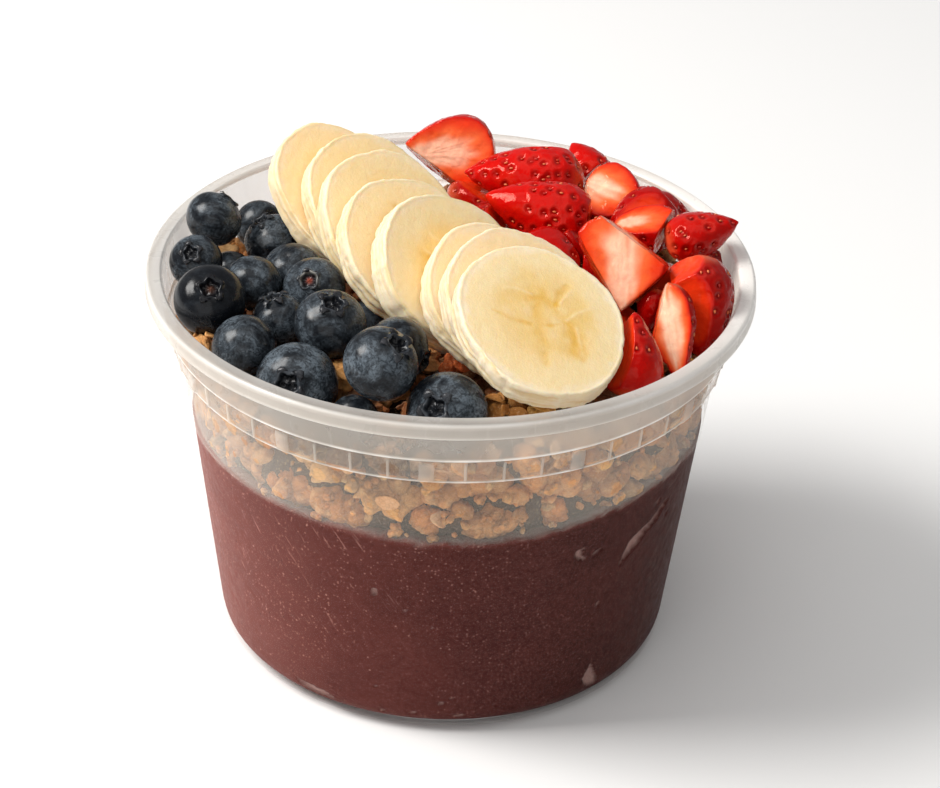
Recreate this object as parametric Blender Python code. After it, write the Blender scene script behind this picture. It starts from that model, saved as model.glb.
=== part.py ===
# Acai bowl in a round translucent pint container: frozen acai base, a layer of
# granola clusters, and a topping of blueberries, a fanned row of banana slices
# and cut strawberries.  Blender 4.5, metres, +Z up.  The origin is the centre
# of the foot ring, on the surface that the container stands on, and -Y is the
# front.  Lengths below are in millimetres and are scaled by MM on the way out.
import bpy
import bmesh
from math import sin, cos, pi, radians, sqrt, hypot, atan2
from mathutils import Vector, Matrix
from mathutils.bvhtree import BVHTree

MM = 0.001
GAP = 0.35                 # clearance between neighbouring pieces

# ---- container: a thin-walled deli tub with a rolled rim ------------------
RIM_R = 58.5               # widest radius, at the bottom of the rim's skirt
RIM_TOP = 78.1             # height of the rim's flat land
LAND_OUT = 57.7
LAND_IN = 55.5
SKIRT_Z = 75.1
WALL = 0.8
LEDGE_HI = 68.0            # upper stacking ledge
LEDGE_LO = 62.7            # lower stacking ledge
WALL_TOP_R = 52.0          # outer radius of the tapered wall under the ledge
WALL_FOOT_R = 45.1
CORNER_R = 4.7             # corner between the wall and the base
FOOT_IN_R = 35.2           # inner edge of the flat foot ring
PANEL_Z = 0.8              # the base panel is raised inside the foot ring
SEGS = 40

# ---- fillings ------------------------------------------------------------
ACAI_TOP = 47.8            # level of the acai base at the wall
GRAN_TOP = 69.3            # mean top of the granola layer

# ---- blueberries: name -> (x, y, z, diameter, crown azimuth, crown elevation)
# Azimuth 0 points to the front (-Y) and +90 to +X.
BERRIES = {
    "blueberry_01": (-46.3, 11.6, 80.5, 11.2, 121, 44),
    "blueberry_02": (-38.5, 25.9, 71.8, 10.0, 161, -19),
    "blueberry_03": (-35.2, 15.2, 74.0, 11.2, -87, 63),
    "blueberry_04": (-48.7, -1.2, 78.0, 10.4, -14, 49),
    "blueberry_05": (-44.8, -17.7, 78.9, 13.7, 8, 50),
    "blueberry_06": (-42.7, 7.7, 71.0, 8.7, -74, -71),
    "blueberry_07": (-37.4, -6.5, 76.8, 10.9, -41, -72),
    "blueberry_08": (-30.5, 2.6, 74.1, 11.7, 154, -62),
    "blueberry_09": (-25.8, -8.4, 76.8, 12.0, -13, 47),
    "blueberry_10": (-31.8, -18.2, 75.5, 10.5, -107, 75),
    "blueberry_11": (-21.9, -25.0, 78.7, 13.5, 18, 69),
    "blueberry_12": (-37.5, -28.3, 75.6, 12.1, 89, -72),
    "blueberry_13": (-27.6, -37.6, 73.3, 15.2, -13, 30),
    "blueberry_14": (-15.4, -10.3, 71.2, 8.0, 155, -18),
    "blueberry_15": (-9.5, -30.7, 76.8, 12.7, 64, -6),
    "blueberry_16": (-12.1, -43.2, 81.4, 13.8, 61, 55),
    "blueberry_17": (-16.5, -43.6, 70.0, 9.1, -34, -15),
    "blueberry_18": (0.1, -46.4, 73.4, 15.1, -25, 36),
}
BERRY_SEGS = 10

# ---- banana slices, back to front ------------------------------------------
# (x, y, z) of the upper face's centre, facing azimuth, facing elevation,
# half width, half height, thickness
BANANA = [
    (-21.1, 19.0, 83.2, 40, 53.1, 13.9, 16.7, 4.9),
    (-14.1, 13.7, 83.4, 39, 52.4, 14.9, 16.7, 4.7),
    (-10.6, 5.6, 83.8, 38, 51.5, 14.8, 16.8, 4.9),
    (-6.6, -3.9, 83.6, 38, 51.5, 14.6, 16.1, 5.2),
    (0.7, -11.8, 84.2, 42, 47.1, 15.2, 15.7, 6.2),
    (9.9, -19.4, 82.4, 38, 53.2, 15.2, 16.3, 4.7),
    (14.1, -25.4, 83.7, 35, 54.2, 15.4, 17.4, 4.6),
    (16.8, -34.5, 86.6, 34, 62.2, 15.9, 17.1, 5.1),
]

# ---- strawberry chunks ------------------------------------------------------
# centre, direction of the tip (azimuth, elevation), roll, length, width,
# depth and the knife cuts, each (azimuth, elevation, distance from centre)
STRAWBERRY = {
    "strawberry_01": ((32.1, -8.7, 85.0), 3, -46, 15, 22.2, 19.0, 15.7,
                      [(-14, 37, 1.9), (54, -35, 7.4), (-69, -21, 5.1), (116, 52, 4.3)]),
    "strawberry_02": ((47.0, 7.7, 82.0), 95, 19, 74, 15.0, 10.0, 12.0,
                      [(-163, -69, 3.1), (-91, 1, 6.3)]),
    "strawberry_03": ((41.1, -22.1, 79.0), 14, -46, 22, 19.3, 9.5, 9.5,
                      [(-25, 33, 1.7), (-91, 13, 2.7)]),
    "strawberry_04": ((46.6, -11.9, 78.5), 13, -51, 23, 20.6, 14.3, 14.3,
                      [(-90, 57, 6.9), (-92, -21, 3.8)]),
    "strawberry_05": ((-0.4, 42.3, 81.0), -78, -2, 102, 21.0, 15.2, 17.7,
                      [(-9, 26, 2.3), (-48, -39, 4.7), (17, -68, 7.1)]),
    "strawberry_06": ((38.6, 10.6, 81.8), -81, 17, 108, 15.0, 10.0, 12.6,
                      [(-59, 74, 2.7), (177, -49, 3.9)]),
    "strawberry_07": ((31.8, 29.0, 79.0), 76, -21, 61, 14.4, 13.0, 12.0,
                      [(-13, 48, 2.6), (-77, 1, 5.3)]),
    "strawberry_08": ((27.0, 41.6, 78.6), -130, 45, 134, 10.6, 9.6, 10.4,
                      [(180, -32, 3.1), (51, -29, 2.4)]),
    "strawberry_09": ((16.1, 34.4, 80.0), -86, 4, 96, 24.5, 13.6, 16.4,
                      [(138, -55, 5.3), (-176, 38, 4.9)]),
    "strawberry_10": ((18.9, 19.4, 79.5), -93, 15, 105, 23.0, 14.2, 14.2,
                      [(-162, -53, 4.3), (83, -1, 8.0)]),
    "strawberry_11": ((33.8, -31.1, 76.0), -179, 63, 168, 16.0, 11.5, 12.8,
                      [(138, 3, 4.6)]),
    "strawberry_12": ((37.9, -12.9, 77.0), -25, -49, -10, 9.8, 6.2, 7.0,
                      [(180, -32, 2.5)]),
    "strawberry_13": ((42.4, 27.4, 76.5), 78, -19, 67, 11.5, 8.0, 10.4,
                      [(-87, -87, -0.2)]),
    "strawberry_14": ((50.5, 8.2, 76.5), 57, -41, 50, 5.0, 4.4, 5.5,
                      [(-82, -12, 1.9)]),
    "strawberry_15": ((24.3, 12.3, 76.5), 52, -44, 48, 12.0, 3.8, 10.1,
                      [(180, -32, 3.7)]),
    "strawberry_16": ((6.5, 33.0, 75.0), 100, 5, 20, 19.0, 14.0, 12.0,
                      [(0, -80, 5.6), (30, 10, 6.5)]),
    "strawberry_17": ((26.0, 38.0, 75.0), -120, 10, 60, 17.0, 14.0, 12.0,
                      [(0, -85, 5.6), (-60, 20, 7.0)]),
    "strawberry_18": ((25.0, 27.5, 76.5), 60, -5, 10, 20.0, 15.0, 13.0,
                      [(0, -88, 6.6), (-150, 20, 7.5)]),
    "strawberry_19": ((37.5, 20.5, 77.5), -40, 0, 80, 18.0, 14.5, 13.5,
                      [(0, -85, 6.6), (120, 30, 6.5)]),
    "strawberry_20": ((18.5, 6.0, 75.5), 20, 8, 40, 19.0, 15.5, 13.0,
                      [(0, -90, 6.0), (-90, 15, 7.5)]),
    "strawberry_21": ((41.0, 1.5, 76.5), 150, 0, 0, 18.0, 15.0, 13.0,
                      [(0, -88, 6.6), (90, 25, 7.5)]),
    "strawberry_22": ((31.0, -14.0, 73.5), -30, 5, 90, 17.0, 12.0, 10.0,
                      [(0, -90, 4.8), (80, 30, 6.0)]),
    "strawberry_23": ((8.0, 20.5, 75.0), -100, 0, 30, 17.0, 14.0, 12.0,
                      [(0, -90, 5.6), (20, 10, 7.0)]),
    "strawberry_24": ((28.5, 5.5, 75.5), 70, -10, 50, 17.0, 14.0, 12.5,
                      [(0, -89, 6.0), (150, 20, 6.5)]),
    "strawberry_25": ((25.0, -2.5, 73.5), 160, 5, 10, 15.0, 13.0, 10.5,
                      [(0, -87, 4.8), (60, 25, 6.0)]),
}


def direction(az, el):
    a, e = radians(az), radians(el)
    return Vector((sin(a) * cos(e), -cos(a) * cos(e), sin(e)))


def material(name, colour, rough, metal=0.0, transmission=0.0):
    mat = bpy.data.materials.new(name)
    mat.use_nodes = True
    b = mat.node_tree.nodes["Principled BSDF"]
    b.inputs["Base Color"].default_value = (*colour, 1.0)
    b.inputs["Roughness"].default_value = rough
    b.inputs["Metallic"].default_value = metal
    b.inputs["Transmission Weight"].default_value = transmission
    mat.diffuse_color = (*colour, 1.0)
    return mat


def from_bmesh(name, bm, mat, sharp=35.0):
    bmesh.ops.scale(bm, vec=(MM, MM, MM), verts=bm.verts[:])
    bmesh.ops.recalc_face_normals(bm, faces=bm.faces[:])
    me = bpy.data.meshes.new(name)
    bm.to_mesh(me)
    bm.free()
    me.shade_smooth()
    me.set_sharp_from_angle(angle=radians(sharp))
    me.materials.append(mat)
    ob = bpy.data.objects.new(name, me)
    bpy.context.scene.collection.objects.link(ob)
    return ob


def lathe(bm, profile, segs=SEGS, top=None):
    """Turn a profile of (r, z) about Z.  A radius of 0 closes in a pole, and
    top(r, angle) may lift each point."""
    lift = top or (lambda r, a: 0.0)
    rings = []
    for i, (r, z) in enumerate(profile):
        if r <= 1e-6:
            rings.append([bm.verts.new((0, 0, z + lift(0.0, 0.0) if callable(lift) else z))])
        else:
            rings.append([bm.verts.new((r * sin(2 * pi * k / segs), -r * cos(2 * pi * k / segs),
                                        z + lift(r, 2 * pi * k / segs))) for k in range(segs)])
    pairs = list(zip(rings, rings[1:]))
    if len(rings[0]) > 1:
        pairs.append((rings[-1], rings[0]))
    for a, b in pairs:
        for k in range(segs):
            n = (k + 1) % segs
            if len(a) == 1:
                bm.faces.new((a[0], b[k], b[n]))
            elif len(b) == 1:
                bm.faces.new((a[k], b[0], a[n]))
            else:
                bm.faces.new((a[k], b[k], b[n], a[n]))
    return rings


# ---------------------------------------------------------------- container
def wall_outer(z):
    """Outer radius of the tapered wall below the lower ledge."""
    t = (z - CORNER_R) / (LEDGE_LO - CORNER_R)
    return WALL_FOOT_R + (WALL_TOP_R - WALL_FOOT_R) * max(0.0, min(1.0, t))


def wall_inner(z):
    """Inner radius at a height, through the ledges up to the rim."""
    if z < LEDGE_LO - 0.6:
        return wall_outer(z) - WALL
    if z < LEDGE_HI:
        return 52.4 + 0.6 * (z - LEDGE_LO + 0.6) / (LEDGE_HI - LEDGE_LO)
    return 53.7 + 1.5 * (z - LEDGE_HI) / (RIM_TOP - LEDGE_HI)


def corner(r_wall, z_low, radius, steps=3):
    """Quarter round from the base to the wall, from the inside outwards."""
    return [(r_wall - radius + radius * sin(pi / 2 * k / steps),
             z_low + radius - radius * cos(pi / 2 * k / steps)) for k in range(steps + 1)]


def make_container():
    outer = [(0, PANEL_Z), (FOOT_IN_R - 1.2, PANEL_Z), (FOOT_IN_R, 0.0)]
    outer += corner(WALL_FOOT_R, 0.0, CORNER_R)
    outer += [(WALL_TOP_R, LEDGE_LO - 0.5), (53.1, LEDGE_LO + 0.2), (53.8, LEDGE_HI - 0.5),
              (54.5, LEDGE_HI + 0.2), (56.0, RIM_TOP - 1.0), (57.6, RIM_TOP - 1.1),
              (57.8, SKIRT_Z), (RIM_R, SKIRT_Z), (58.2, RIM_TOP - 0.7), (LAND_OUT, RIM_TOP),
              (LAND_IN, RIM_TOP), (55.1, RIM_TOP - 0.4)]
    inner = [(53.7, LEDGE_HI + 0.4), (53.0, LEDGE_HI - 0.3), (52.3, LEDGE_LO + 0.4),
             (WALL_TOP_R - WALL, LEDGE_LO - 0.3)]
    inner += corner(WALL_FOOT_R - WALL, WALL + PANEL_Z, CORNER_R - WALL)[::-1]
    inner += [(0, WALL + PANEL_Z)]
    bm = bmesh.new()
    lathe(bm, outer + inner)
    return from_bmesh("container", bm, material("frosted_plastic", (0.86, 0.84, 0.82), 0.35, 0.0, 0.8), 30)


# ---------------------------------------------------------------- acai base
def acai_wave(a):
    """Slow rise and fall of the acai's edge round the wall."""
    return 0.5 * sin(a - 0.4) + 0.55 * sin(2 * a + 0.9) + 0.35 * sin(3 * a + 2.0) + 0.3 * sin(7 * a)


def acai_level(r, a):
    edge = min(1.0, r / 50.0)
    bumps = 0.9 * sin(0.21 * r * cos(a) + 1.0) * sin(0.24 * r * sin(a))
    return ACAI_TOP + acai_wave(a) * edge ** 2 + bumps * (1 - edge) * 1.5


def make_acai():
    base_z = WALL + PANEL_Z + GAP
    foot = corner(WALL_FOOT_R - WALL - GAP, base_z, CORNER_R - WALL)
    prof = [(0, base_z)] + foot
    bm = bmesh.new()
    segs = SEGS
    rings = [[bm.verts.new((0, 0, base_z))]]
    ring = lambda r, zf: [bm.verts.new((r * sin(2 * pi * k / segs), -r * cos(2 * pi * k / segs),
                                        zf(2 * pi * k / segs))) for k in range(segs)]
    for r, z in foot:
        rings.append(ring(r, lambda a, z=z: z))
    top_r = wall_outer(ACAI_TOP - 1.0) - WALL - GAP
    rings.append(ring(top_r, lambda a: acai_level(top_r, a)))
    for f in (0.8, 0.5, 0.22):
        rings.append(ring(top_r * f, lambda a, f=f: acai_level(top_r * f, a)))
    rings.append([bm.verts.new((0, 0, acai_level(0, 0)))])
    for a, b in zip(rings, rings[1:]):
        for k in range(segs):
            n = (k + 1) % segs
            if len(a) == 1:
                bm.faces.new((a[0], b[k], b[n]))
            elif len(b) == 1:
                bm.faces.new((a[k], b[0], a[n]))
            else:
                bm.faces.new((a[k], b[k], b[n], a[n]))
    return from_bmesh("acai", bm, material("acai_puree", (0.115, 0.035, 0.032), 0.5), 60)


# ---------------------------------------------------------------- fruit
def berry_mesh(bm, centre, dia, crown):
    """A slightly flattened round berry whose blossom end carries a raised
    crown with a dimple in it."""
    r = dia / 2
    z_axis = crown.normalized()
    x_axis = z_axis.orthogonal().normalized()
    y_axis = z_axis.cross(x_axis)
    # (polar angle, radius factor): from the stem end to the rim of the crown
    rows = [(146, 0.99), (111, 1.0), (76, 1.0), (43, 0.99), (19, 1.0), (12, 0.86)]

    def at(pol, f, k):
        p, a = radians(pol), 2 * pi * k / BERRY_SEGS
        v = x_axis * (sin(p) * cos(a)) + y_axis * (sin(p) * sin(a)) + z_axis * (cos(p) * 0.93)
        return bm.verts.new(centre + v * (r * f))
    south = bm.verts.new(centre - z_axis * (r * 0.9))
    rings = [[at(p, f, k) for k in range(BERRY_SEGS)] for p, f in rows]
    north = bm.verts.new(centre + z_axis * (r * 0.77))
    n = BERRY_SEGS
    for k in range(n):
        bm.faces.new((south, rings[0][(k + 1) % n], rings[0][k]))
        bm.faces.new((north, rings[-1][k], rings[-1][(k + 1) % n]))
    for a, b in zip(rings, rings[1:]):
        for k in range(n):
            bm.faces.new((a[k], a[(k + 1) % n], b[(k + 1) % n], b[k]))


def settle(rows, steps=80):
    """Move the berries apart by the smallest steps until none touches its
    neighbour or the wall."""
    pos = {n: Vector(v[:3]) for n, v in rows.items()}
    rad = {n: v[3] / 2 for n, v in rows.items()}
    names = list(pos)
    for _ in range(steps):
        for i, a in enumerate(names):
            for b in names[i + 1:]:
                d = pos[b] - pos[a]
                lack = rad[a] + rad[b] + GAP - d.length
                if lack > 0:
                    push = d.normalized() * (lack / 2)
                    pos[a] -= push
                    pos[b] += push
        for n in names:
            p, r = pos[n], rad[n]
            out = hypot(p.x, p.y)
            lack = 0.0
            for k in range(7):
                h = LEDGE_HI + (RIM_TOP - LEDGE_HI) * k / 6
                if abs(h - p.z) < r:
                    lack = max(lack, out + sqrt(r * r - (h - p.z) ** 2) - wall_inner(h) + GAP)
            if lack > 0:
                p.x *= 1 - lack / out
                p.y *= 1 - lack / out
    return pos


def slice_frame(az, el):
    n = direction(az, el)
    u = Vector((cos(radians(az)), sin(radians(az)), 0.0))
    return n, u, n.cross(u)


def banana_radius(t, lobes):
    """Section of a peeled banana: nearly round, with faint flats."""
    return 1.0 + 0.012 * cos(5 * t + lobes) + 0.010 * cos(3 * t + 2 * lobes)


def banana_mesh(bm, c, az, el, a, b, th, lobes, segs=22):
    n, u, v = slice_frame(az, el)
    c = Vector(c)
    edge = 0.9

    def ring(shrink, depth):
        return [bm.verts.new(c + u * ((a - shrink) * cos(t) * banana_radius(t, lobes))
                             + v * ((b - shrink) * sin(t) * banana_radius(t, lobes)) - n * depth)
                for t in (2 * pi * k / segs for k in range(segs))]
    rings = [ring(edge, 0.0), ring(0.0, edge * 0.8), ring(0.0, th - edge * 0.8), ring(edge, th)]
    front = bm.verts.new(c)
    rear = bm.verts.new(c - n * th)
    for k in range(segs):
        j = (k + 1) % segs
        bm.faces.new((front, rings[0][k], rings[0][j]))
        bm.faces.new((rear, rings[-1][j], rings[-1][k]))
        for p, q in zip(rings, rings[1:]):
            bm.faces.new((p[k], q[k], q[j], p[j]))


def berry_profile(s):
    """Half width of a strawberry along its length, 0 at the stem, 1 at the tip."""
    return sin(pi * min(1.0, max(0.0, s)) ** 0.62) ** 0.72


def chunk_points(c, tip_az, tip_el, roll, length, width, depth, cuts, rows=5, segs=9):
    """A piece of strawberry: the whole fruit's body, cut by flat knife cuts."""
    e1 = direction(tip_az, tip_el)
    flat = Vector((cos(radians(tip_az)), sin(radians(tip_az)), 0.0))
    e2 = Matrix.Rotation(radians(roll), 3, e1) @ flat
    e3 = e1.cross(e2)
    c = Vector(c)
    bm = bmesh.new()
    for i in range(rows + 1):
        s = i / rows
        r = berry_profile(s) if 0 < i < rows else 0.12 * (i == 0)
        for k in range(segs if r else 1):
            t = 2 * pi * k / segs
            bm.verts.new(c + e1 * (length * (s - 0.42)) + e2 * (width / 2 * r * cos(t))
                         + e3 * (depth / 2 * r * sin(t)))
    hull_of(bm)
    for az, el, off in cuts:
        n = direction(az, el)
        trim(bm, c + n * off, n)
    return bm


def hull_of(bm):
    """Replace whatever the bmesh holds by the convex hull of its vertices."""
    bmesh.ops.delete(bm, geom=bm.faces[:] + bm.edges[:], context='EDGES_FACES')
    loose = [v for v in bm.verts if not v.link_edges]
    if not loose:
        loose = bm.verts[:]
    bmesh.ops.remove_doubles(bm, verts=bm.verts[:], dist=0.25)
    out = bmesh.ops.convex_hull(bm, input=bm.verts[:])
    bmesh.ops.delete(bm, geom=[g for g in out["geom_interior"] if isinstance(g, bmesh.types.BMVert)],
                     context='VERTS')
    bmesh.ops.recalc_face_normals(bm, faces=bm.faces[:])


def trim(bm, point, normal):
    """Cut away what lies beyond a plane and close the cut."""
    bmesh.ops.bisect_plane(bm, geom=bm.verts[:] + bm.edges[:] + bm.faces[:], plane_co=point,
                           plane_no=normal, clear_outer=True)
    points = [v.co.copy() for v in bm.verts]
    bm.clear()
    for p in points:
        bm.verts.new(p)
    hull_of(bm)


def span(points, n):
    d = [p.dot(n) for p in points]
    return min(d), max(d)


def part_from(bm, other, gap=GAP):
    """Trim a convex chunk so that it stays clear of another convex piece,
    given as (points, face normals, centre), along the plane that costs least."""
    mine = [v.co.copy() for v in bm.verts]
    pts, normals, centre = other
    own = [f.normal.copy() for f in bm.faces]
    mid = sum(mine, Vector()) / len(mine)
    best = None
    for n in own + [-m for m in normals] + [(centre - mid).normalized()]:
        hi = span(mine, n)[1]
        lo = span(pts, n)[0]
        lap = hi - lo
        if best is None or lap < best[0]:
            best = (lap, n, lo)
    lap, n, lo = best
    if lap > -gap:
        trim(bm, n * (lo - gap), n)


def convex(points, normals):
    return points, normals, sum(points, Vector()) / len(points)


def make_fruit():
    made = []
    berry_mat = material("blueberry_skin", (0.018, 0.026, 0.045), 0.42)
    banana_mat = material("banana_flesh", (0.86, 0.70, 0.36), 0.5)
    straw_mat = material("strawberry_flesh", (0.55, 0.012, 0.008), 0.3)
    solids = []
    centres = settle(BERRIES)
    for i, (name, row) in enumerate(BERRIES.items()):
        bm = bmesh.new()
        berry_mesh(bm, centres[name], row[3], direction(row[4], row[5]))
        solids.append(convex([v.co.copy() for v in bm.verts], []))
        made.append(from_bmesh(name, bm, berry_mat if i == 0 else berry_mat.copy(), 40))
    for i, (x, y, z, az, el, a, b, th) in enumerate(BANANA):
        bm = bmesh.new()
        banana_mesh(bm, (x, y, z), az, el, a, b, th, i * 0.9)
        bm.normal_update()
        solids.append(convex([v.co.copy() for v in bm.verts], [f.normal.copy() for f in bm.faces]))
        made.append(from_bmesh("banana_%d" % (i + 1), bm, banana_mat if i == 0 else banana_mat.copy(), 40))
    for name, row in STRAWBERRY.items():
        bm = chunk_points(*row)
        for other in solids:
            part_from(bm, other)
        bm.normal_update()
        solids.append(convex([v.co.copy() for v in bm.verts], [f.normal.copy() for f in bm.faces]))
        made.append(from_bmesh(name, bm, straw_mat.copy(), 30))
    return made


# ---------------------------------------------------------------- granola
def heap(x, y):
    """Top of the granola layer before the fruit presses into it."""
    a, r = atan2(x, -y), hypot(x, y)
    bump = (1.5 * sin(0.31 * x + 0.7) * sin(0.29 * y - 0.4) + 0.9 * sin(0.17 * x - 0.33 * y)
            + 0.6 * sin(0.55 * x + 0.42 * y + 1.3))
    left = 2.6 * max(0.0, -x / 50.0)
    return GRAN_TOP + bump + left * (r / 54.0)


def make_granola(fruit):
    """One uneven layer from the acai up to just under the fruit."""
    trees = []
    for ob in fruit:
        me = ob.data
        trees.append(BVHTree.FromPolygons([v.co / MM for v in me.vertices],
                                          [tuple(p.vertices) for p in me.polygons]))

    def roof(x, y):
        low = heap(x, y)
        for tree in trees:
            hit = tree.ray_cast(Vector((x, y, 40.0)), Vector((0, 0, 1)))
            if hit[0] is not None:
                low = min(low, hit[0].z - 0.6)
        return low

    segs = SEGS
    shares = [0.0, 0.12, 0.26, 0.40, 0.54, 0.68, 0.82, 0.92, 1.0]
    top_wall = 67.2
    reach = wall_inner(LEDGE_HI - 1.0) - GAP - 0.2

    def low_near(x, y, step):
        return min(roof(x + dx * step, y + dy * step)
                   for dx, dy in ((0, 0), (1, 0), (-1, 0), (0, 1), (0, -1), (.7, .7), (-.7, .7), (.7, -.7), (-.7, -.7),
                                  (.5, 0), (-.5, 0), (0, .5), (0, -.5)))

    bm = bmesh.new()
    r_low = wall_outer(ACAI_TOP) - WALL - GAP
    r_mid = wall_inner(LEDGE_LO - 1.2) - GAP

    def ring(r, zf):
        out = []
        for k in range(segs):
            t = 2 * pi * k / segs
            x, y = r * sin(t), -r * cos(t)
            out.append(bm.verts.new((x, y, zf(x, y, t))))
        return out
    rings = [[bm.verts.new((0, 0, acai_level(0, 0) + 2 * GAP))]]
    for f in (0.22, 0.5, 0.8):
        rr = (wall_outer(ACAI_TOP - 1.0) - WALL - GAP) * f
        rings.append(ring(rr, lambda x, y, t, rr=rr: acai_level(rr, t) + 2 * GAP))
    rings.append(ring(r_low, lambda x, y, t: acai_level(r_low, t) + 1.6 * GAP))
    rings.append(ring(r_mid, lambda x, y, t: LEDGE_LO - 0.9))
    rings.append(ring(wall_inner(LEDGE_LO + 1.2) - 2 * GAP, lambda x, y, t: LEDGE_LO + 1.0))
    for f in shares[::-1]:
        if f == 0.0:
            rings.append([bm.verts.new((0, 0, low_near(0, 0, 3.0)))])
        else:
            rings.append(ring(reach * f, lambda x, y, t, f=f: min(low_near(x, y, 3.2 + 1.6 * f),
                                                                 top_wall if f == 1.0 else 99.0)))
    for a, b in zip(rings, rings[1:]):
        for k in range(segs):
            n = (k + 1) % segs
            if len(a) == 1:
                bm.faces.new((a[0], b[k], b[n]))
            elif len(b) == 1:
                bm.faces.new((a[k], b[0], a[n]))
            else:
                bm.faces.new((a[k], b[k], b[n], a[n]))
    bmesh.ops.triangulate(bm, faces=bm.faces[:])
    return from_bmesh("granola", bm, material("granola_crumb", (0.42, 0.24, 0.12), 0.75), 60)


def main():
    for ob in list(bpy.data.objects):
        bpy.data.objects.remove(ob, do_unlink=True)
    root = bpy.data.objects.new("acai_bowl", None)
    bpy.context.scene.collection.objects.link(root)
    parts = [make_container(), make_acai()]
    fruit = make_fruit()
    parts += fruit + [make_granola(fruit)]
    for ob in parts:
        ob.parent = root


main()
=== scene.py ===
from math import pi, sin, cos, radians, atan2, hypot, sqrt, degrees

import bpy
import bmesh
import numpy as np
from mathutils import Vector, Matrix
from mathutils.bvhtree import BVHTree


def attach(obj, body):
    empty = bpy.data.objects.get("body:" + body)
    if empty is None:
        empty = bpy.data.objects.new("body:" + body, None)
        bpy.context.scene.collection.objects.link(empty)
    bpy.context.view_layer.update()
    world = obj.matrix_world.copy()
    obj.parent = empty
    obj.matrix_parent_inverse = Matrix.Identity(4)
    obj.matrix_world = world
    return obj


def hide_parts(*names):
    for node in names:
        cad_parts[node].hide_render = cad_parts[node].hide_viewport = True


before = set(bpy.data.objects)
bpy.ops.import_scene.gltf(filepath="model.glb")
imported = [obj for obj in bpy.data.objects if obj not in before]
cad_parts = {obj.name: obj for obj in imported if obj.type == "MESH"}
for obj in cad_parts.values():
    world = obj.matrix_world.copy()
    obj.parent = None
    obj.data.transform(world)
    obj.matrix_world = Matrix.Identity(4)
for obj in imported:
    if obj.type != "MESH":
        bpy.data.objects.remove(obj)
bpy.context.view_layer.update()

MM = 0.001
rng = np.random.default_rng(7)

# ------------------------------------------------------------------ the tub
RIM_R, RIM_TOP = 58.5, 78.1
LAND_OUT, LAND_IN, SKIRT_Z = 57.7, 55.5, 75.1
WALL = 0.8
LEDGE_HI, LEDGE_LO = 68.0, 62.7
WALL_TOP_R, WALL_FOOT_R, CORNER_R = 52.0, 45.1, 4.7
FOOT_IN_R, PANEL_Z = 35.2, 0.8
RIBS, WIDE_EVERY, RIB_FIRST = 48, 4, -3.6      # ribs of the stacking band, azimuth in degrees
RIB_THIN, RIB_WIDE = 0.34, 2.6


# ------------------------------------------------------------------ helpers
def lin(r, g, b):
    """An sRGB colour, 0 to 255, as linear light."""
    c = np.array([r, g, b], float) / 255.0
    return np.where(c <= 0.04045, c / 12.92, ((c + 0.055) / 1.055) ** 2.4)


def direction(az, el):
    a, e = radians(az), radians(el)
    return np.array([sin(a) * cos(e), -cos(a) * cos(e), sin(e)])


def smooth(a, b, x):
    t = np.clip((x - a) / (b - a), 0, 1)
    return t * t * (3 - 2 * t)


def mix(a, b, t):
    t = np.asarray(t)[..., None]
    return np.asarray(a) * (1 - t) + np.asarray(b) * t


def vnoise(P, scale, seed=0.0):
    """Smooth value noise from -1 to 1 at points in millimetres."""
    q = np.asarray(P, float) * scale + np.array([seed * 3.17 + 11.3, seed * 7.71 + 5.9, seed * 5.23 + 2.7])
    i = np.floor(q).astype(np.int64)
    f = q - i
    f = f * f * f * (f * (f * 6 - 15) + 10)

    def h(x, y, z):
        n = (x * 374761393 + y * 668265263 + z * 1274126177) & 0xFFFFFFFF
        n = ((n ^ (n >> 13)) * 1103515245) & 0xFFFFFFFF
        n = ((n ^ (n >> 15)) * 2246822519) & 0xFFFFFFFF
        return ((n ^ (n >> 16)) & 0xFFFF) / 32767.5 - 1.0
    out = 0.0
    for dx in (0, 1):
        wx = f[..., 0] if dx else 1 - f[..., 0]
        for dy in (0, 1):
            wy = f[..., 1] if dy else 1 - f[..., 1]
            for dz in (0, 1):
                wz = f[..., 2] if dz else 1 - f[..., 2]
                out = out + wx * wy * wz * h(i[..., 0] + dx, i[..., 1] + dy, i[..., 2] + dz)
    return out


def fbm(P, scale, seed=0.0, octaves=4, gain=0.5):
    out, amp, tot = 0.0, 1.0, 0.0
    for k in range(octaves):
        out = out + amp * vnoise(P, scale * 2.03 ** k, seed + 9.1 * k)
        tot += amp
        amp *= gain
    return out / tot


def grid(rows, cols, first=0, wrap=True):
    """Quads between rows of points that follow one another."""
    r, c = np.meshgrid(np.arange(rows - 1), np.arange(cols if wrap else cols - 1), indexing="ij")
    a = first + r * cols + c
    b = first + r * cols + (c + 1) % cols
    return np.stack([a, b, b + cols, a + cols], -1).reshape(-1, 4)


def fan(centre, first, cols, flip=False):
    k = np.arange(cols)
    a, b = first + k, first + (k + 1) % cols
    c = np.full(cols, centre)
    return np.stack([c, a, b] if flip else [c, b, a], -1)


def tri_of(faces):
    out = []
    for f in faces:
        if f.shape[1] == 3:
            out.append(f)
        else:
            out += [f[:, [0, 1, 2]], f[:, [0, 2, 3]]]
    return np.concatenate(out)


def normals_of(V, faces):
    T = tri_of(faces)
    n = np.cross(V[T[:, 1]] - V[T[:, 0]], V[T[:, 2]] - V[T[:, 0]])
    N = np.zeros_like(V)
    for k in range(3):
        np.add.at(N, T[:, k], n)
    L = np.linalg.norm(N, axis=1, keepdims=True)
    return N / np.maximum(L, 1e-12)


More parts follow.
